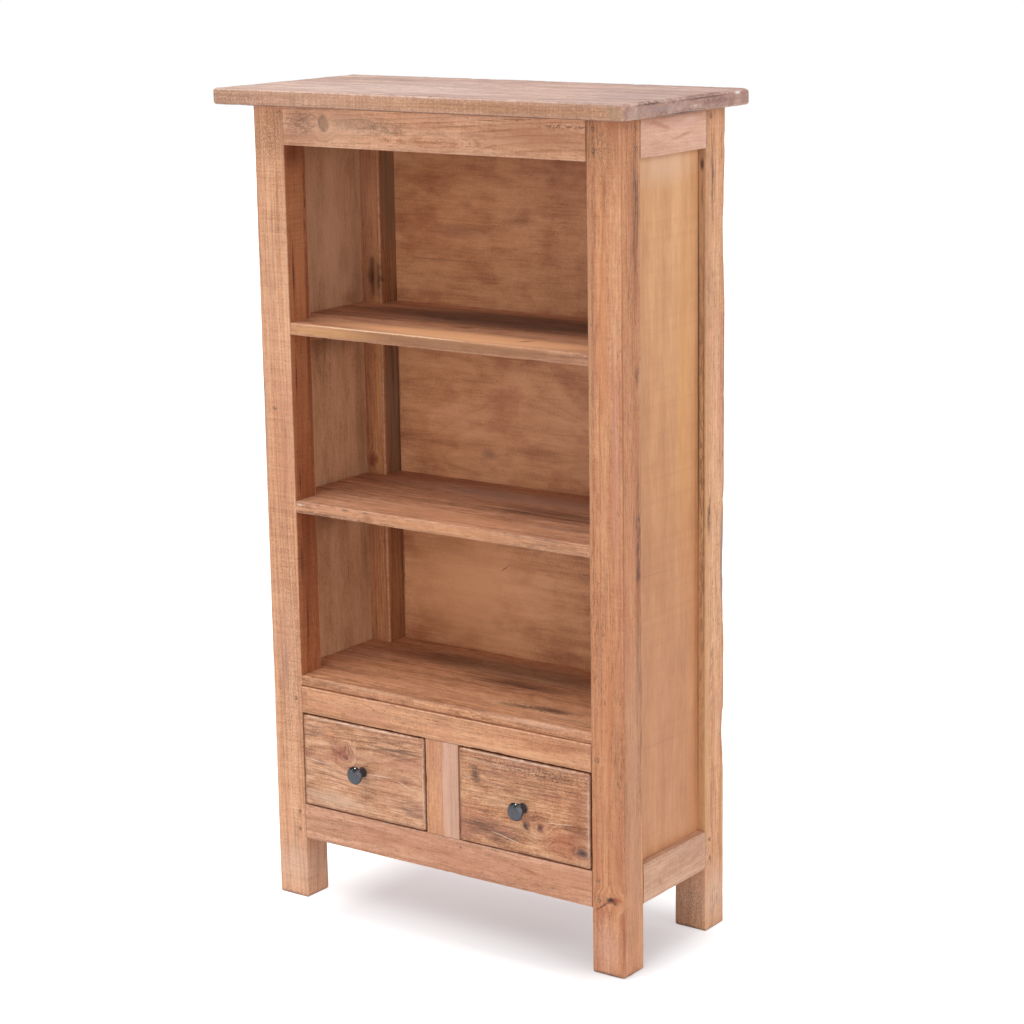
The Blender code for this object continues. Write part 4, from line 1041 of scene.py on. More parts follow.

# Top board, glued from three staves, with its ends more weathered than its front. Its pale pinkish tone is
# partly its own and partly painted sheen of the top seen at a grazing angle
topBoard = {
    "node": "top_board", "slot": "top_pine", "ease": 0.0026, "endEase": 0.0068, "easeSteps": 4,
    "cell": 0.0065, "bow": 0.0012, "hollows": 0.0008, "chips": 0.0014,
    "wood": {
        "seed": 19.3, "staves": 3, "pith": (0.02, -0.11), "light": "#E8CBBA", "amber": "#D4AD99",
        "dark": "#A27A6C", "flush": "#C59A90", "stain": "#8D6A64", "bloom": "#EAD9D0", "rings": 0.3,
        "freeEnds": True, "bands": 1.0, "endTone": "#98736A", "pores": 0.6, "wear": 0.3, "streaks": 0.95,
        "sawn": 0.36, "grain": 0.5, "mottle": 0.45,
        "marks": [
            markAt((0, -167, 1288), (420, 6, 11.2), 0.5, "#D6B29C", core=0.85, square=True),
            markAt((0, -167, 1288), (420, 6, 11.2), 0.13, "#7E5A48", only="saw", core=0.85, square=True),
            markAt((0, -167, 1288), (420, 6, 11.2), 0.3, "#9A705A", only="grains", core=0.85, square=True),
            markAt((-200, 20, 1300), (150, 130, 10), 1.0, "#A07A6E", only="streaks"),
            markAt((-120, -40, 1300), (200, 120, 10), 0.5, "#F0DED6", only="flecks"),
            markAt((0, -167, 1288), (420, 6, 11.2), 1.0, tint="#F6EADC", core=0.85, square=True),
            markAt((20, -167, 1288), (200, 6, 11.2), 1.0, tint="#FBF5EA", core=0.3),
            markAt((250, -167, 1288), (300, 6, 11.2), 0.9, tint="#EDE3D2", core=0.3),
            markAt((-330, -167, 1288), (70, 6, 13), 0.4, "#8A6458", only="grains"),
            markAt((-374, -167, 1288), (8, 6, 13), 0.6, "#8A6A64"),
            markAt((358, -167, 1288), (18, 7, 13), 0.35, "#93866C"),
            markAt((372, -162, 1288), (6, 6, 13), 0.7, "#7A5E5C"),
            # Painted shade: dark lines along the lower edge of the front, above the rail
            markAt((0, -167, 1276.8), (420, 6, 1.6), 0.55, "#7A5240", core=0.6, square=True),
            markAt((0, -165.5, 1276.2), (420, 6, 1), 0.8, "#6E4530", core=0.7, square=True),
            markAt((300, 0, 1300), (160, 250, 10), 0.35, "#A88880"),
            markAt((375, -100, 1296.5), (8, 50, 1.6), 0.95, "#4C3634"),
            markAt((375, 35, 1295.5), (8, 90, 1.8), 0.9, "#5E4042"),
            markAt((375, 75, 1289.5), (8, 75, 6), 0.85, "#6E4A4A", only="grains"),
            markAt((375, 70, 1288), (8, 70, 5), 0.35, "#7E5656"),
            markAt((375, -80, 1288), (8, 75, 6), 0.5, "#A08A88"),
            markAt((375, 18, 1286), (8, 20, 3), 0.8, "#E8D5CC", only="grains"),
            # Painted shade: a dark line along the lower edge of the end
            markAt((375, -20, 1277.8), (8, 150, 2), 0.7, "#553C36"),
            # Painted highlight: a glint on the rounded back corner of the end
            markAt((375, 132, 1296.5), (8, 10, 3), 0.9, "#F2ECE8"),
        ]},
}
makeBoard("topBoard", topBoard)
print("top board made")

# Panels of thin plywood let into the frame
panelShape = {
    "trim": 0.0045, "ease": 0.0004, "cell": 0.014, "easeSteps": 1, "bow": 0.0016, "hollows": 0.0003,
    "chips": 0.0,
}
rightPanel = {
    "node": "right_side_panel", "slot": "side_plywood", "run": "z", "kind": "plywood", **panelShape,
    "wood": {
        "seed": 21.0, "light": "#DCA879", "amber": "#CE986A", "dark": "#B8845A", "blotch": "#B27650",
        "lines": 0.18, "bands": 0.6, "clouds": 0.45, "blotches": 0.25, "fibres": 0.30,
        "marks": [
            markAt((320, 21, 1200), (40, 100, 20), 0.45, "#DDBBA0"),
            markAt((320, 20, 300), (500, 200, 30), 0.9, tint="#EADDE0"),
            markAt((320, 20, 680), (300, 200, 30), 0.9, tint="#F2EAE4"),
            # Painted shade: a darker strip along the rear of the panel, next to the back right post
            markAt((320, 106, 650), (600, 7.5, 20), 0.6, tint="#DAC2AE", core=0.3),
            markAt((320, 70, 850), (340, 22, 20), 0.35, "#DB9A54"),
            markAt((320, -20, 600), (1.2, 60, 20), 0.35, "#8A5A40", slant=(0, 0, 3)),
            markAt((320, 20, 335), (1.2, 100, 20), 0.35, "#8A5A40", slant=(0, 0, 2)),
        ]},
}
leftPanel = {
    "node": "left_side_panel", "slot": "side_plywood", "run": "z", "kind": "plywood", **panelShape,
    "wood": {
        "seed": 22.5, "light": "#E9C49F", "amber": "#DAAE88", "dark": "#A87C5C", "blotch": "#A5764F",
        "clouds": 0.5, "bands": 0.35, "grain": 0.34, "fibres": 0.42, "blotches": 0.2,
        "cloudSize": (10, 20, 20),
        "marks": [
            markAt((-315, 20, 1060), (170, 140, 4.5), 0.35, "#E6BCA4"),
            # Painted shade under the top rail
            markAt((-315, 20, 1220), (40, 140, 4.5), 0.4, tint="#B8A89C"),
            # Painted shade under the upper and the lower shelf
            markAt((-315, 20, 905), (45, 140, 4.5), 0.7, tint="#8A7464"),
            markAt((-315, 20, 625), (45, 140, 4.5), 0.7, tint="#8A7464"),
            markAt((-315, 76, 951), (14, 30, 4.5), 0.35, "#9A6238"),
            markAt((-315, 100, 790), (450, 20, 4.5), 0.35, "#8A5E46"),
            markAt((-320, 30, 980), (100, 160, 3), 0.3, tint="#D8C4B4"),
            markAt((-320, -10, 520), (140, 120, 3), 0.3, tint="#E4CDB8"),
            markAt((-315, 20, 480), (120, 140, 4.5), 0.4, tint="#E2DCDA"),
            # Painted shade under the lower shelf
            markAt((-315, 20, 600), (40, 120, 4.5), 0.25, "#8A5E46")]},
}
backPanel = {
    "node": "back_panel", "slot": "back_plywood", "run": "x", "kind": "plywood", **panelShape,
    "wood": {
        "seed": 23.4, "light": "#E8AF84", "amber": "#D79B70", "dark": "#AC714C", "blotch": "#9C5230",
        "blotches": 0.55, "clouds": 0.7, "grain": 0.36, "fibres": 0.38, "figure": 0.2, "waves": (3.4, 11, 11),
        "cloudSize": (9, 14, 14), "patchSize": (11, 17, 17),
        "marks": [
            markAt((0, 151, 1090), (340, 4.5, 170), 1.0, tint="#F2E9E3", core=0.7),
            # Painted shade under the top rail, then under the upper and the lower shelf
            markAt((0, 151, 1225), (320, 4.5, 55), 0.6, tint="#B8A69C"),
            markAt((0, 151, 915), (320, 4.5, 40), 0.7, tint="#A08C80"),
            markAt((0, 151, 630), (320, 4.5, 40), 0.7, tint="#A08C80"),
            markAt((-180, 151, 1013), (120, 4.5, 1.2), 0.5),
            markAt((-150, 151, 1062), (60, 4.5, 16), 0.4, "#7A4530"),
            markAt((-31, 151, 1085), (40, 4.5, 14), 0.3, "#7A4530"),
            markAt((-96.7, 151, 704.4), (22, 4.5, 10), 0.6, "#6B4A40"),
            markAt((-150, 151, 480), (180, 4.5, 120), 0.85, "#EBB080"),
            markAt((-276.8, 151, 500), (1.2, 4.5, 130), 0.95, "#3A2218"),
            markAt((-276.8, 151, 800), (0.8, 4.5, 120), 0.8, "#4A2C1E"),
            markAt((20, 151, 750), (300, 4.5, 120), 0.25, "#E0A682"),
            markAt((-70, 151, 520.4), (14, 4.5, 1.6), 0.8, slant=(0, -35, 0))]},
}
for name, facts in (("rightPanel", rightPanel), ("leftPanel", leftPanel), ("backPanel", backPanel)):
    makeBoard(name, facts)
print("panels made")


shelfFacts = {
    **boardFacts, "slot": "shelf_pine", "ease": 0.0022, "cell": 0.007, "bow": 0.0008, "hollows": 0.0006,
    "chips": 0.0016, "narrow": 0.2777, "notchFront": -0.0662, "notchBack": 0.1102,
}


longEdge = 0.1    # in m: a shelf's edges that are longer run along its front or its sides
onCut = 1e-4    # in m: corners this close to a cut belong to it
facesOut = 0.9    # a face whose normal points sideways by a larger share than this is a side


# A shelf notched round the posts: its middle is drawn out sideways behind the front posts
def makeShelf(name, facts):
    facts = {**shelfFacts, **facts}
    low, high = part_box(facts["node"])
    narrow = facts["narrow"]
    shelf = startBoard(name, Vector((-narrow, low.y, low.z)), Vector((narrow, high.y, high.z)))
    bpy.ops.object.mode_set(mode="EDIT")
    bpy.ops.mesh.select_mode(type="EDGE")
    pickEdges(shelf, lambda edge: abs(edge.verts[0].co.y - edge.verts[1].co.y) > longEdge)
    bpy.ops.mesh.subdivide(number_cuts=2)
    third = (high.y - low.y) / 3
    for old, new in ((low.y + third, facts["notchFront"]), (high.y - third, facts["notchBack"])):
        pickEdges(shelf, lambda edge: all(abs(vert.co.y - old) < onCut for vert in edge.verts))
        bpy.ops.transform.translate(value=(0, new - old, 0))
    for sign in (-1, 1):
        bpy.ops.mesh.select_mode(type="FACE")
        shape = bmesh.from_edit_mesh(shelf.data)
        for face in shape.faces:
            middle = face.calc_center_median()
            wanted = sign * face.normal.x > facesOut and facts["notchFront"] < middle.y < facts["notchBack"]
            face.select_set(wanted)
        bmesh.update_edit_mesh(shelf.data)
        out = sign * (high.x - narrow)
        bpy.ops.mesh.extrude_region_move(TRANSFORM_OT_translate={"value": (out, 0, 0)})
    bpy.ops.object.mode_set(mode="OBJECT")

    roundEdges(shelf, facts["ease"], facts["easeSteps"], lambda one, other: (
        1.0 if max(abs(one.y - low.y), abs(other.y - low.y)) < samePlane
        and abs(one.x - other.x) > longEdge else 0.0))
    cutFine(shelf, facts["cell"])
    wearBoard(shelf, {**facts, "endEase": 0.0}, low, high + Vector((0, 1, 0)))    # its back edge is not worn
    finishPiece(shelf, facts, makePine(name + "Pine", facts["wood"], low, high))
    finished.append(name)


shelfWood = {
    "light": "#DBA785", "amber": "#C68C69", "dark": "#8A5D47", "flush": "#B87F5E", "bloom": "#DDBBA5",
    "stain": "#634538", "staves": 2, "rings": 0.3, "pores": 0.6, "soil": 0.5, "streaks": 0.4, "sway": 0.012,
    "pith": (0.01, -0.10), "mottle": 0.5, "wear": 0.12,
}
upperShelf = {
    "node": "upper_shelf",
    "wood": {
        **shelfWood, "seed": 31.0,
        "knots": [knotAt((-17, -17.6, 941), (14, 6, 7), 6, heart="#7A4030", rim="#6B3A2A")],
        "marks": [
            # Painted light: the lit strip along the front of the shelf
            markAt((50, -85, 941), (320, 40, 10), 1.0, "#F6BA8A", core=0.5),
            # Painted shade over the back of the shelf, then at its left end by the front left post
            markAt((20, 65, 941), (340, 80, 10), 1.0, tint="#8E8A90", core=0.5),
            markAt((-220, 20, 941), (100, 90, 10), 0.5, tint="#B8A4A2"),
            markAt((60, 30, 941), (200, 22, 10), 0.7, only="streaks"),
            markAt((120, 0, 941), (140, 18, 10), 0.6, "#5A3A2C", only="grains"),
            markAt((0, -117, 931.5), (320, 10, 11), 0.85, "#926444", core=0.5),
            markAt((-210, -117, 931.5), (130, 10, 10), 0.7, "#D09A66", core=0.3),
            markAt((-100, -117, 940.2), (190, 4, 1.3), 0.75, "#EFCBA4", core=0.6),
            markAt((139, -75, 941), (20, 4, 10), 0.95, "#4B1F16", slant=(0, 0, 52))]},
}
lowerShelf = {
    "node": "lower_shelf",
    "wood": {
        **shelfWood, "seed": 33.0, "streaks": 0.6, "fibres": 0.75,
        "knots": [knotAt((-133.8, -117, 646.4), (8, 8, 5), 5, heart="#9A5A3C")],
        "marks": [
            # Painted light: the lit strip along the front of the shelf
            markAt((0, -80, 659), (270, 40, 10), 0.5, "#D99A70"),
            markAt((0, -117, 649.5), (300, 10, 11), 0.6, "#CC9064"),
            markAt((100, 20, 659), (200, 35, 10), 0.8, "#4A3028", only="streaks"),
            markAt((130, 10, 659), (150, 30, 10), 0.5, tint="#9C8678"),
            markAt((170, -50, 659), (110, 16, 10), 0.8, "#4A3028", only="streaks"),
            # Painted shade over the back of the shelf
            markAt((0, 85, 659), (330, 50, 10), 0.6, "#B4988A"),
            markAt((-269.5, -117, 653.6), (6, 6, 3), 0.7, "#E6D6CA"),
            markAt((-178.9, -117, 656), (10, 4, 2), 0.7),
            markAt((-139.4, -117, 656), (8, 4, 2), 0.7)]},
}
deckBoard = {
    "node": "deck_board", "ease": 0.0036,
    "wood": {
        **shelfWood, "seed": 36.0, "light": "#E8B48D", "amber": "#D69A72", "dark": "#9C6848", "fibres": 0.4,
        "streaks": 0.3,
        "knots": [
            knotAt((105, -66, 375), (26, 7, 10), 8, rim="#5E3A2C", strength=0.6),
            knotAt((160, -58, 375), (30, 8, 10), 6, rim="#4A3028", strength=0.6)],
        "marks": [
            # Painted shade over the back of the deck, under the lower shelf
            markAt((0, 90, 375), (340, 60, 10), 0.65, tint="#8EA0B0", core=0.3),
            markAt((50, 20, 375), (130, 20, 10), 0.9, "#4A342A", only="streaks"),
            markAt((50, 26, 375), (120, 20, 10), 0.7, tint="#86685C"),
            markAt((-145, 72, 375), (120, 30, 10), 0.5, tint="#8E7268"),
            markAt((140, -60, 375), (85, 18, 10), 0.85, "#4E3529", only="grains"),
            markAt((170, -56, 375), (60, 16, 10), 0.6, tint="#8A6A5E"),
            markAt((-280, 45, 375), (80, 50, 10), 0.35, "#9A8074"),
            markAt((210, -100, 375), (70, 20, 10), 0.45, "#7A6A68", only="streaks"),
            markAt((170, -118, 372), (120, 10, 6), 0.45, "#D9AE96"),
            markAt((-150, -118, 372), (140, 6, 4), 0.4, "#DDB090"),
            markAt((-305.2, 38.7, 375), (3, 3, 3), 0.9, "#F0E8E2")]},
}
for name, facts in (("upperShelf", upperShelf), ("lowerShelf", lowerShelf), ("deckBoard", deckBoard)):
    makeShelf(name, facts)
print("shelves made")

# Drawer fronts: coarse open grain, pale edges, partly worn and partly painted highlight, grey streaks and
# pale scratches
frontWood = {
    "light": "#E3B391", "amber": "#CA936E", "dark": "#8A5940", "grime": "#4A342A", "stain": "#6B4A39",
    "pores": 0.45, "flush": "#B0705C", "bloom": "#E6CBB5", "rings": 0.4, "sway": 0.024, "wear": 0.7,
    "soil": 0.4, "streaks": 0.3, "scratch": 0.3, "bands": 0.7, "fibres": 0.5, "grain": 0.5, "mottle": 0.6,
    "freeEnds": True, "relief": 1.4, "ringWidth": 0.0050,
}
leftDrawerFront = {
    "node": "left_drawer_front", "body": "left_drawer", "slot": "drawer_pine", "ease": 0.0036,
    "endEase": 0.0042, "cell": 0.004, "hollows": 0.0010, "chips": 0.0012,
    "wood": {
        **frontWood, "seed": 41.2, "pith": (0.06, 0.03), "lean": (1.2, 2.0),
        "knots": [knotAt((-188, -121, 256), (6, 8, 6), 10, heart="#8A4B38", rim="#5A2E24", ring=0.0,
                      strength=0.7, reach=6.0)],
        "marks": [
            markAt((-200, -121, 262), (32, 20, 22), 0.8, tint="#BE9490"),
            markAt((-105, -121, 225), (75, 20, 30), 0.4, tint="#D0A89C"),
            markAt((-215, -121, 180), (85, 20, 18), 0.5, "#DDBCA4"),
            markAt((-225, -121, 223), (55, 20, 20), 0.35, "#8A5C4C", only="fibres"),
            markAt((-215, -121, 272), (12, 20, 8), 0.7, "#6E4A3E", only="fibres"),
            markAt((-240, -121, 238), (14, 20, 6), 0.6, "#6E4038", slant=(0, 10, 0)),
            markAt((-190, -121, 268), (2.2, 20, 14), 0.7, "#6E3F30", slant=(0, 12, 0)),
            markAt((-183, -121, 270), (2.2, 20, 15), 0.7, "#6E3F30", slant=(0, -10, 0)),
            markAt((-176, -121, 268), (2.2, 20, 14), 0.6, "#6E3F30", slant=(0, -28, 0)),
            markAt((-203.5, -121, 260), (16, 20, 2.4), 0.6, "#6E3F30", slant=(0, 25, 0)),
            markAt((-185.3, -121, 253.5), (2.8, 6, 2.4), 0.95, "#341812"),
            markAt((-90, -121, 288), (75, 20, 16), 0.75, "#5A4034", only="streaks"),
            markAt((-85, -121, 284), (70, 20, 20), 0.6, "#664A3C", only="fibres"),
            markAt((-250, -121, 288), (32, 20, 18), 0.65, "#7E5A54", only="fibres"),
            markAt((-222, -121, 288), (20, 20, 12), 0.35, "#D98F60"),
            markAt((-215, -121, 183), (70, 20, 12), 0.5, "#E2BE9C", only="streaks"),
            markAt((-62, -121, 190), (40, 20, 20), 0.65, "#66504A", only="fibres"),
            markAt((-105, -121, 205), (60, 20, 12), 0.35, "#6E4A3C", only="fibres"),
            markAt((-55, -121, 195), (34, 20, 18), 0.4, tint="#A0766A"),
            markAt((-70, -121, 238), (22, 20, 10), 0.45, tint="#A87A74"),
            markAt((-125, -121, 236), (45, 20, 1.4), 0.8, "#E6C6AE", slant=(0, -2, 0)),
            markAt((-68, -121, 229), (28, 20, 1.4), 0.8, "#E6C6AE", slant=(0, 16, 0)),
            markAt((-247, -121, 238.5), (32, 20, 1.4), 0.75, "#E6C6AE", slant=(0, 4, 0)),
            markAt((-216, -121, 229), (24, 20, 1.3), 0.5, "#E6C6AE", slant=(0, 18, 0))]},
}
rightDrawerFront = {
    "node": "right_drawer_front", "body": "right_drawer", "slot": "drawer_pine", "ease": 0.0036,
    "endEase": 0.0042, "cell": 0.004, "hollows": 0.0010, "chips": 0.0012,
    "wood": {
        **frontWood, "seed": 44.8, "pith": (0.06, -0.05), "lean": (2.2, 1.0), "light": "#DFAC86",
        "amber": "#C48A62", "dark": "#86563C",
        "knots": [
            knotAt((159.5, -121, 209), (6, 8, 5.5), 4, heart="#7A4E44", rim="#3E2824", ring=0.0, strength=1.0,
                reach=3.0),
            knotAt((185.5, -121, 210.5), (7.6, 8, 7.6), 8, heart="#7E4438", rim="#3E1C1A", ring=0.0,
                strength=1.0, reach=5.0),
            knotAt((263.5, -121, 185), (10, 8, 5.8), 6, heart="#5E4244", rim="#2A1E24", ring=0.2,
                strength=1.0, reach=4.0)],
        "marks": [
            markAt((269.9, -121, 304), (3.2, 6, 4), 0.6, "#E5D8CE", only="grains"),
            markAt((64, -121, 276.5), (12, 10, 16), 1.0, "#4E3B2E", only="fibres"),
            markAt((69, -121, 263), (11, 10, 13), 0.9, "#4E3B2E", only="flecks"),
            markAt((66, -121, 272), (13, 10, 20), 0.35, tint="#8A7462"),
            markAt((160, -121, 297), (120, 20, 14), 0.75, "#5A3C30", only="grains"),
            markAt((130, -121, 297), (100, 20, 12), 0.5, "#E0C0A0", only="streaks"),
            markAt((90, -121, 189), (62, 20, 13), 0.9, "#4A3C34", only="streaks", slant=(0, 10, 0)),
            markAt((92, -121, 187), (66, 20, 16), 0.6, "#5A483C", only="fibres", slant=(0, 10, 0)),
            markAt((85, -121, 190), (60, 20, 16), 0.35, tint="#A8907E", slant=(0, 10, 0)),
            markAt((123, -121, 183), (38, 20, 1.4), 0.75, "#E6C6AE", slant=(0, 11, 0)),
            markAt((110, -121, 196), (60, 20, 18), 0.5, "#4A3A30", only="flecks"),
            markAt((215, -121, 262), (50, 20, 30), 0.35, tint="#D0A894"),
            markAt((225, -121, 195), (50, 20, 30), 0.7, tint="#CFA492"),
            markAt((135, -121, 262), (20, 20, 12), 0.4, tint="#A87A74"),
            markAt((222, -121, 223.5), (34, 20, 1.3), 0.8, "#E6C6AE", slant=(0, -6, 0)),
            markAt((175, -121, 222), (30, 20, 16), 0.35, tint="#B8867A"),
            markAt((190, -121, 265), (55, 20, 12), 0.45, "#704C3C", only="fibres"),
            markAt((255, -121, 230), (24, 20, 70), 0.6, tint="#B0866E")]},
}
# Dirt and painted shade in the narrow gaps above and to the right of each drawer front, and painted
# highlights along the rounded arrises beside them
for facts in (leftDrawerFront, rightDrawerFront):
    low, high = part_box(facts["node"])
    middle = (low + high) / 2
    facts["wood"]["marks"] = facts["wood"]["marks"] + [
        {"place": place, "size": size, "amount": amount, "core": core, "colour": colour, "square": True}
        for place, size, amount, core, colour in (
            ((middle.x, low.y + 0.014, high.z), (0.125, 0.010, 0.0014), 0.6, 0.9, "#4A2A1A"),
            ((high.x, low.y + 0.012, middle.z), (0.0026, 0.008, 0.078), 0.7, 0.9, "#4A2E20"),
            ((high.x - 0.0030, low.y, middle.z), (0.0017, 0.006, 0.073), 0.5, 0.3, "#E4C8B2"),
            ((middle.x, low.y, high.z - 0.0022), (0.118, 0.004, 0.0015), 0.5, 0.3, "#E4C8B2"))]
makeBoard("leftDrawerFront", leftDrawerFront)
makeBoard("rightDrawerFront", rightDrawerFront)
print("drawer fronts made")

# Forged iron, blackened and waxed: blue-grey with a low gloss, rubbed brighter on its high spots,
# with a painted dark reflection on its upper side and a few painted bright glints
ironFacts = {
    "dark": "#454B56", "rubbed": "#53575E", "paintedDarkReflection": "#1E1B1C", "brown": "#5C4A42", "paintedGlint": "#E6E6EA",
    "rough": 0.40,
    "dent": 260.0, "grit": 900.0, "rub": 140.0, "rust": 210.0, "paintedGlintScale": 330.0,    # times in a metre
    "face": (0.0175, 0.0215), "upper": (0.0125, 0.0160),    # where the rubbed face and the dark top fade in
}
knobShape = {
    "sides": 40, "dents": 0.0022,
    "head": 0.017, "oval": 1.06,    # from this far out, the knob is taller than it is wide
    "profile": [    # radius and distance from the drawer front, in mm
        (8.7, 0.0), (8.7, 1.0), (8.3, 1.7), (7.9, 2.6), (7.7, 4.4), (7.6, 7.0), (7.6, 11.0), (7.8, 14.5),
        (8.6, 16.6),
        (10.4, 17.6), (12.6, 18.2), (13.6, 18.9), (14.0, 20.1), (13.8, 21.6), (12.9, 23.2), (11.0, 24.5),
        (8.0, 25.5),
        (4.0, 26.2), (1.2, 26.4)],
}


def makeIron(name, centre):
    material, tree, shader, own = startMaterial(name, centre)
    dents = addNode(
        tree, "TexVoronoi", {"feature": "SMOOTH_F1", "Scale": ironFacts["dent"], "Smoothness": 0.6},
        {"Vector": own})
    scale = addNode(
        tree, "TexNoise", {"Scale": ironFacts["grit"], "Detail": 3.0, "Roughness": 0.6}, {"Vector": own})
    rub = addNode(tree, "TexNoise", {"Scale": ironFacts["rub"], "Detail": 2.0}, {"Vector": own})
    rubbed = addNode(tree, "MapRange", {"From Min": 0.20, "From Max": 0.60, "To Min": 0.45}, {"Value": rub})
    depth = addNode(tree, "SeparateXYZ", {}, {0: own})
    handled = addNode(
        tree, "MapRange", {"From Min": -ironFacts["face"][0], "From Max": -ironFacts["face"][1]},
        {"Value": (depth, "Y")})
    rubbed = addNode(tree, "Math", {"operation": "MULTIPLY"}, {0: rubbed, 1: handled})
    rust = addNode(tree, "TexNoise", {"Scale": ironFacts["rust"], "Detail": 2.0}, {"Vector": own})
    rust = addNode(tree, "MapRange", {"From Min": 0.52, "From Max": 0.66, "To Max": 0.7}, {"Value": rust})
    # Painted reflection: the upper side of the knob is darkened, and painted glints are scattered over it
    level = addNode(tree, "Math", {"operation": "MULTIPLY_ADD", 1: 0.010}, {0: rub, 2: (depth, "Z")})
    upper = addNode(
        tree, "MapRange",
        {"From Min": ironFacts["upper"][0], "From Max": ironFacts["upper"][1], "To Max": 0.9},
        {"Value": level})
    paintedGlints = addNode(tree, "TexNoise", {"Scale": ironFacts["paintedGlintScale"], "Detail": 1.0}, {"Vector": own})
    paintedGlints = addNode(tree, "MapRange", {"From Min": 0.62, "From Max": 0.70}, {"Value": paintedGlints})
    paintedGlints = addNode(tree, "Math", {"operation": "MULTIPLY"}, {0: paintedGlints, 1: upper})
    colour = addNode(
        tree, "Mix",
        {"data_type": "RGBA", 6: hexColour(ironFacts["dark"]), 7: hexColour(ironFacts["rubbed"])},
        {0: rubbed})
    for cover, label in ((rust, "brown"), (upper, "paintedDarkReflection"), (paintedGlints, "paintedGlint")):
        colour = addNode(
            tree, "Mix", {"data_type": "RGBA", 7: hexColour(ironFacts[label])}, {0: cover, 6: colour})
    gloss = addNode(tree, "MapRange", {
        "From Min": 0.3, "From Max": 0.7, "To Min": ironFacts["rough"] - 0.1,
        "To Max": ironFacts["rough"] + 0.12},
        {"Value": scale})
    height = addNode(tree, "Math", {"operation": "MULTIPLY_ADD", 1: 0.2}, {0: scale, 2: (dents, "Distance")})
    bump = addNode(tree, "Bump", {"Strength": 0.5, "Distance": 0.0006}, {"Height": height})
    shader.inputs["Metallic"].default_value = 0.85
    tree.links.new(colour.outputs[2], shader.inputs["Base Color"])
    tree.links.new(gloss.outputs[0], shader.inputs["Roughness"])
    tree.links.new(bump.outputs[0], shader.inputs["Normal"])
    return material


# Turned by pushing a disc out of the drawer front step by step
def makeKnob(name, node, body):
    low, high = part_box(node)
    centre = Vector(((low.x + high.x) / 2, high.y, (low.z + high.z) / 2))
    rows = [(r / 1000, d / 1000) for r, d in knobShape["profile"]]
    bpy.ops.object.select_all(action="DESELECT")
    bpy.ops.mesh.primitive_circle_add(
        vertices=knobShape["sides"], radius=rows[0][0], fill_type="NGON", location=centre,
        rotation=(radians(90), 0, 0))
    knob = bpy.context.object
    knob.name = name
    knob.data.name = name
    bpy.ops.object.transform_apply(location=True, rotation=True, scale=True)
    bpy.ops.object.mode_set(mode="EDIT")
    bpy.ops.mesh.select_all(action="SELECT")
    for (r0, d0), (r1, d1) in zip(rows, rows[1:]):
        bpy.ops.mesh.extrude_region_move(TRANSFORM_OT_translate={"value": (0, d0 - d1, 0)})
        bpy.ops.transform.resize(
            value=(r1 / r0, 1, r1 / r0), center_override=(centre.x, centre.y - d1, centre.z))
    bpy.ops.mesh.select_all(action="DESELECT")
    bpy.ops.mesh.select_mode(type="EDGE")
    bpy.ops.mesh.select_non_manifold()
    bpy.ops.mesh.edge_face_add()
    bpy.ops.mesh.select_all(action="SELECT")
    bpy.ops.mesh.normals_make_consistent(inside=False)
    bpy.ops.mesh.select_all(action="DESELECT")
    pickEdges(knob, lambda edge: all(vert.co.y < centre.y - knobShape["head"] for vert in edge.verts))
    bpy.ops.transform.resize(value=(1, 1, knobShape["oval"]), center_override=centre)
    bpy.ops.object.mode_set(mode="OBJECT")
    smooth = knob.modifiers.new("smooth", "SUBSURF")
    smooth.levels = 1
    smooth.render_levels = 1
    bpy.ops.object.modifier_apply(modifier=smooth.name)
    pushSurface(knob, "hammer", hollowShape, -knobShape["dents"])
    facts = {"node": node, "body": body, "slot": "knob_iron"}
    finishPiece(knob, facts, makeIron(name + "BlackenedIron", centre))


makeKnob("leftKnob", "left_knob", "left_drawer")
makeKnob("rightKnob", "right_knob", "right_drawer")
print("knobs made")

# Pegs: whittled hardwood, end grain outwards, dark with old wax
pegShape = {
    "radius": 0.0027, "length": 0.006, "proud": 0.0004, "sides": 20, "bevel": 0.0007, "inset": 0.0008,
    "dip": 0.00025,
}
darkPeg = {"grain": "#8A6048", "rim": "#4A3228", "pale": "#B98C6C"}
palePeg = {"grain": "#CC9E80", "rim": "#B58466", "pale": "#DBB092"}
sidePeg = {"grain": "#B28262", "rim": "#9E6E50", "pale": "#BC8C6C"}
# The dark rim on each peg's end is painted shade of the gap round it
pegGrain = {"pores": 1400.0, "rim": (0.0015, 0.0030)}    # pores in a metre, and where the dark rim sets in


def makePegWood(name, centre, tones):
    material, tree, shader, own = startMaterial(name, Vector(centre))
    span = addNode(tree, "VectorMath", {"operation": "LENGTH"}, {0: own})
    pores = addNode(tree, "TexNoise", {"Scale": pegGrain["pores"], "Detail": 2.0}, {"Vector": own})
    rim = addNode(
        tree, "MapRange", {"From Min": pegGrain["rim"][0], "From Max": pegGrain["rim"][1]}, {"Value": span})
    colour = addNode(tree, "Mix", {
        "data_type": "RGBA", 6: hexColour(tones["grain"]), 7: hexColour(tones["pale"])}, {0: pores})
    colour = addNode(tree, "Mix", {"data_type": "RGBA", 7: hexColour(tones["rim"])}, {0: rim, 6: colour})
    bump = addNode(tree, "Bump", {"Strength": 0.6, "Distance": 0.0004}, {"Height": pores})
    shader.inputs["Roughness"].default_value = 0.6
    tree.links.new(colour.outputs[2], shader.inputs["Base Color"])
    tree.links.new(bump.outputs[0], shader.inputs["Normal"])
    return material


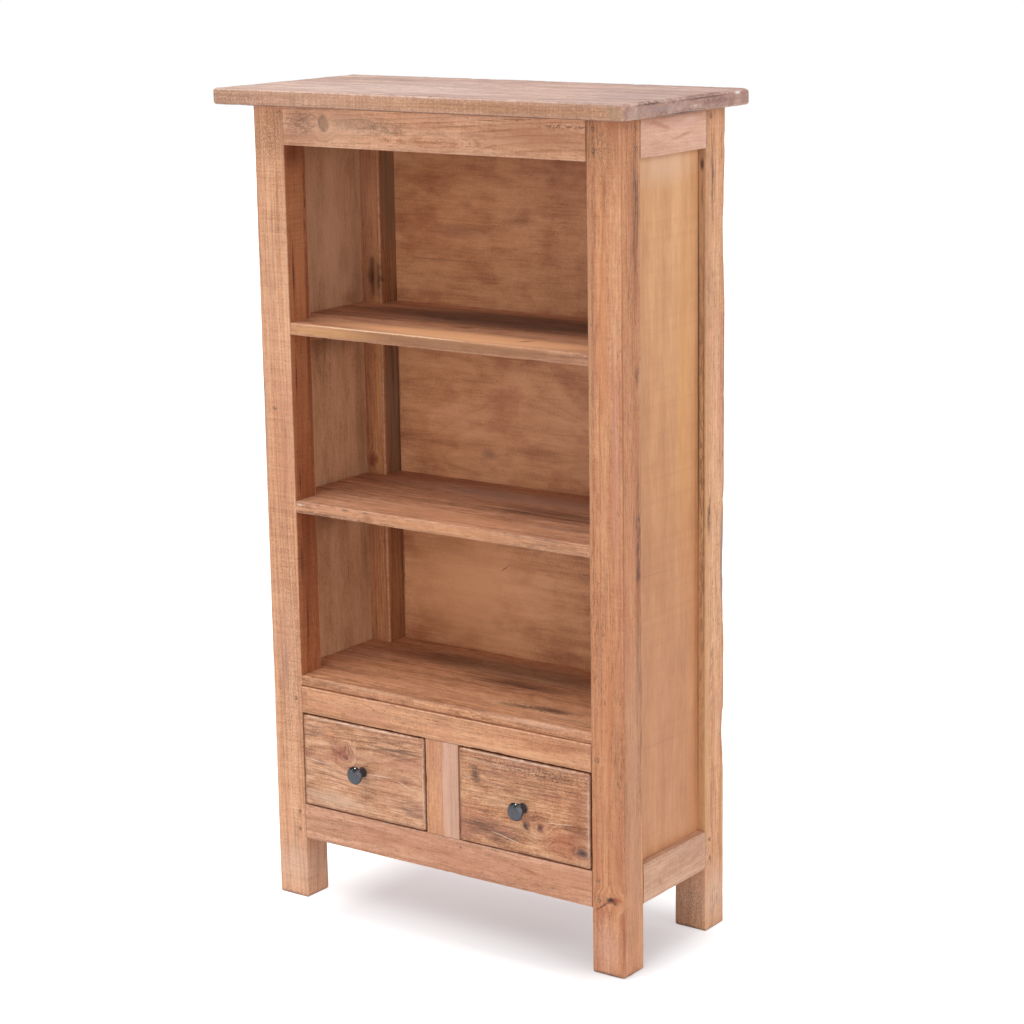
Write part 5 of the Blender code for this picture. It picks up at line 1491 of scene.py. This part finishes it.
bpy.ops.object.select_all(action="DESELECT")
bpy.ops.mesh.primitive_cylinder_add(
    vertices=pegShape["sides"], radius=pegShape["radius"], depth=pegShape["length"], end_fill_type="NGON")
firstPeg = bpy.context.object
bpy.ops.object.mode_set(mode="EDIT")
bpy.ops.mesh.select_mode(type="EDGE")
pickEdges(firstPeg, lambda edge: all(vert.co.z > 0 for vert in edge.verts))
bpy.ops.mesh.bevel(offset=pegShape["bevel"], segments=2, affect="EDGES")
bpy.ops.mesh.select_mode(type="FACE")
pegMesh = bmesh.from_edit_mesh(firstPeg.data)
for face in pegMesh.faces:
    face.select_set(face.normal.z > 0.99 and len(face.verts) > 4)
bmesh.update_edit_mesh(firstPeg.data)
bpy.ops.mesh.inset(thickness=pegShape["inset"])
bpy.ops.transform.translate(value=(0, 0, -pegShape["dip"]))
bpy.ops.object.mode_set(mode="OBJECT")

# Each peg is a copy of the first, turned to face out of its post
for number, (node, spot, facing) in enumerate(pegRows):
    peg = firstPeg.copy()
    peg.data = firstPeg.data.copy()
    scene.collection.objects.link(peg)
    peg.name = "peg%02d" % (number + 1)
    peg.data.name = peg.name
    turn = {"front": (radians(90), 0, 0), "right": (0, radians(90), 0), "left": (0, radians(-90), 0)}[facing]
    out = Vector({"front": (0, -1, 0), "right": (1, 0, 0), "left": (-1, 0, 0)}[facing])
    peg.rotation_euler = turn
    peg.location = Vector(spot) + out * (pegShape["proud"] - pegShape["length"] / 2)
    bpy.ops.object.select_all(action="DESELECT")
    peg.select_set(True)
    bpy.context.view_layer.objects.active = peg
    bpy.ops.object.transform_apply(location=True, rotation=True, scale=True)
    tones = darkPeg
    if hidden(spot):
        tones = palePeg if facing == "front" else sidePeg
    wood = makePegWood(peg.name + "Hardwood", spot, tones)
    finishPiece(peg, {"node": node, "body": "carcass", "slot": "inner_wood"}, wood)
bpy.data.objects.remove(firstPeg, do_unlink=True)
print("pegs made")

# Parts inside keep their CAD shapes: cleats, runners and drawer boxes of planed, unfinished pine
innerWood = {
    "light": "#D9B894", "dark": "#BC9068", "flush": "#D3AC8C", "haze": 0.2, "wear": 0.15, "pores": 0.25,
    "soil": 0.1, "rings": 0.5, "relief": 0.6, "endTone": "#B58C68", "freeEnds": True,
}
# The cleats under the upper and lower shelves get darker tones: painted shade under the shelves
shadedCleats = {"light": "#A87756", "dark": "#80543C", "flush": "#946650", "bloom": "#B8947E"}
innerParts = {
    "upper_left_cleat": ("y", shadedCleats), "upper_right_cleat": ("y", shadedCleats),
    "lower_left_cleat": ("y", shadedCleats), "lower_right_cleat": ("y", shadedCleats),
    "deck_left_cleat": ("y", {}), "deck_right_cleat": ("y", {}), "left_runner": ("y", {}),
    "right_runner": ("y", {}), "centre_runner": ("y", {}), "centre_guide": ("y", {}),
    "left_drawer_inner_side": ("y", {}), "left_drawer_outer_side": ("y", {}), "left_drawer_back": ("x", {}),
    "right_drawer_inner_side": ("y", {}), "right_drawer_outer_side": ("y", {}),
    "right_drawer_back": ("x", {}),
}
for number, (node, (run, tint)) in enumerate(innerParts.items()):
    low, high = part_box(node)
    wood = makePine(node + "Pine", {**innerWood, **tint, "run": run, "seed": 51.0 + 1.7 * number}, low, high)
    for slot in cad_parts[node].material_slots:
        slot.material = wood
bottomWood = {"run": "x", "light": "#DDBE98", "dark": "#C59F75"}
for number, node in enumerate(("left_drawer_bottom", "right_drawer_bottom")):
    low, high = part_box(node)
    wood = makePlywood(node + "Plywood", {**bottomWood, "seed": 81.0 + number}, low, high)
    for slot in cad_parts[node].material_slots:
        slot.material = wood


# Zinc-plated steel: cool grey, brushed by the die, with a soft shine
zincFacts = {"dull": "#9A9C9E", "bright": "#B9BBBB", "clouds": 700.0, "rough": (0.25, 0.45)}


def makeZinc(name, centre):
    material, tree, shader, own = startMaterial(name, centre)
    cloud = addNode(tree, "TexNoise", {"Scale": zincFacts["clouds"], "Detail": 3.0}, {"Vector": own})
    colour = addNode(tree, "Mix", {
        "data_type": "RGBA", 6: hexColour(zincFacts["dull"]), 7: hexColour(zincFacts["bright"])}, {0: cloud})
    smoothest, roughest = zincFacts["rough"]
    gloss = addNode(tree, "MapRange", {"To Min": smoothest, "To Max": roughest}, {"Value": cloud})
    bump = addNode(tree, "Bump", {"Strength": 0.3, "Distance": 0.0002}, {"Height": cloud})
    shader.inputs["Metallic"].default_value = 1.0
    tree.links.new(colour.outputs[2], shader.inputs["Base Color"])
    tree.links.new(gloss.outputs[0], shader.inputs["Roughness"])
    tree.links.new(bump.outputs[0], shader.inputs["Normal"])
    return material


for node in ("left_knob_screw", "right_knob_screw"):
    zinc = makeZinc(node + "Zinc", middleOf(node))
    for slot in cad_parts[node].material_slots:
        slot.material = zinc
print("inner parts dressed")

print("boards made:", len(finished))
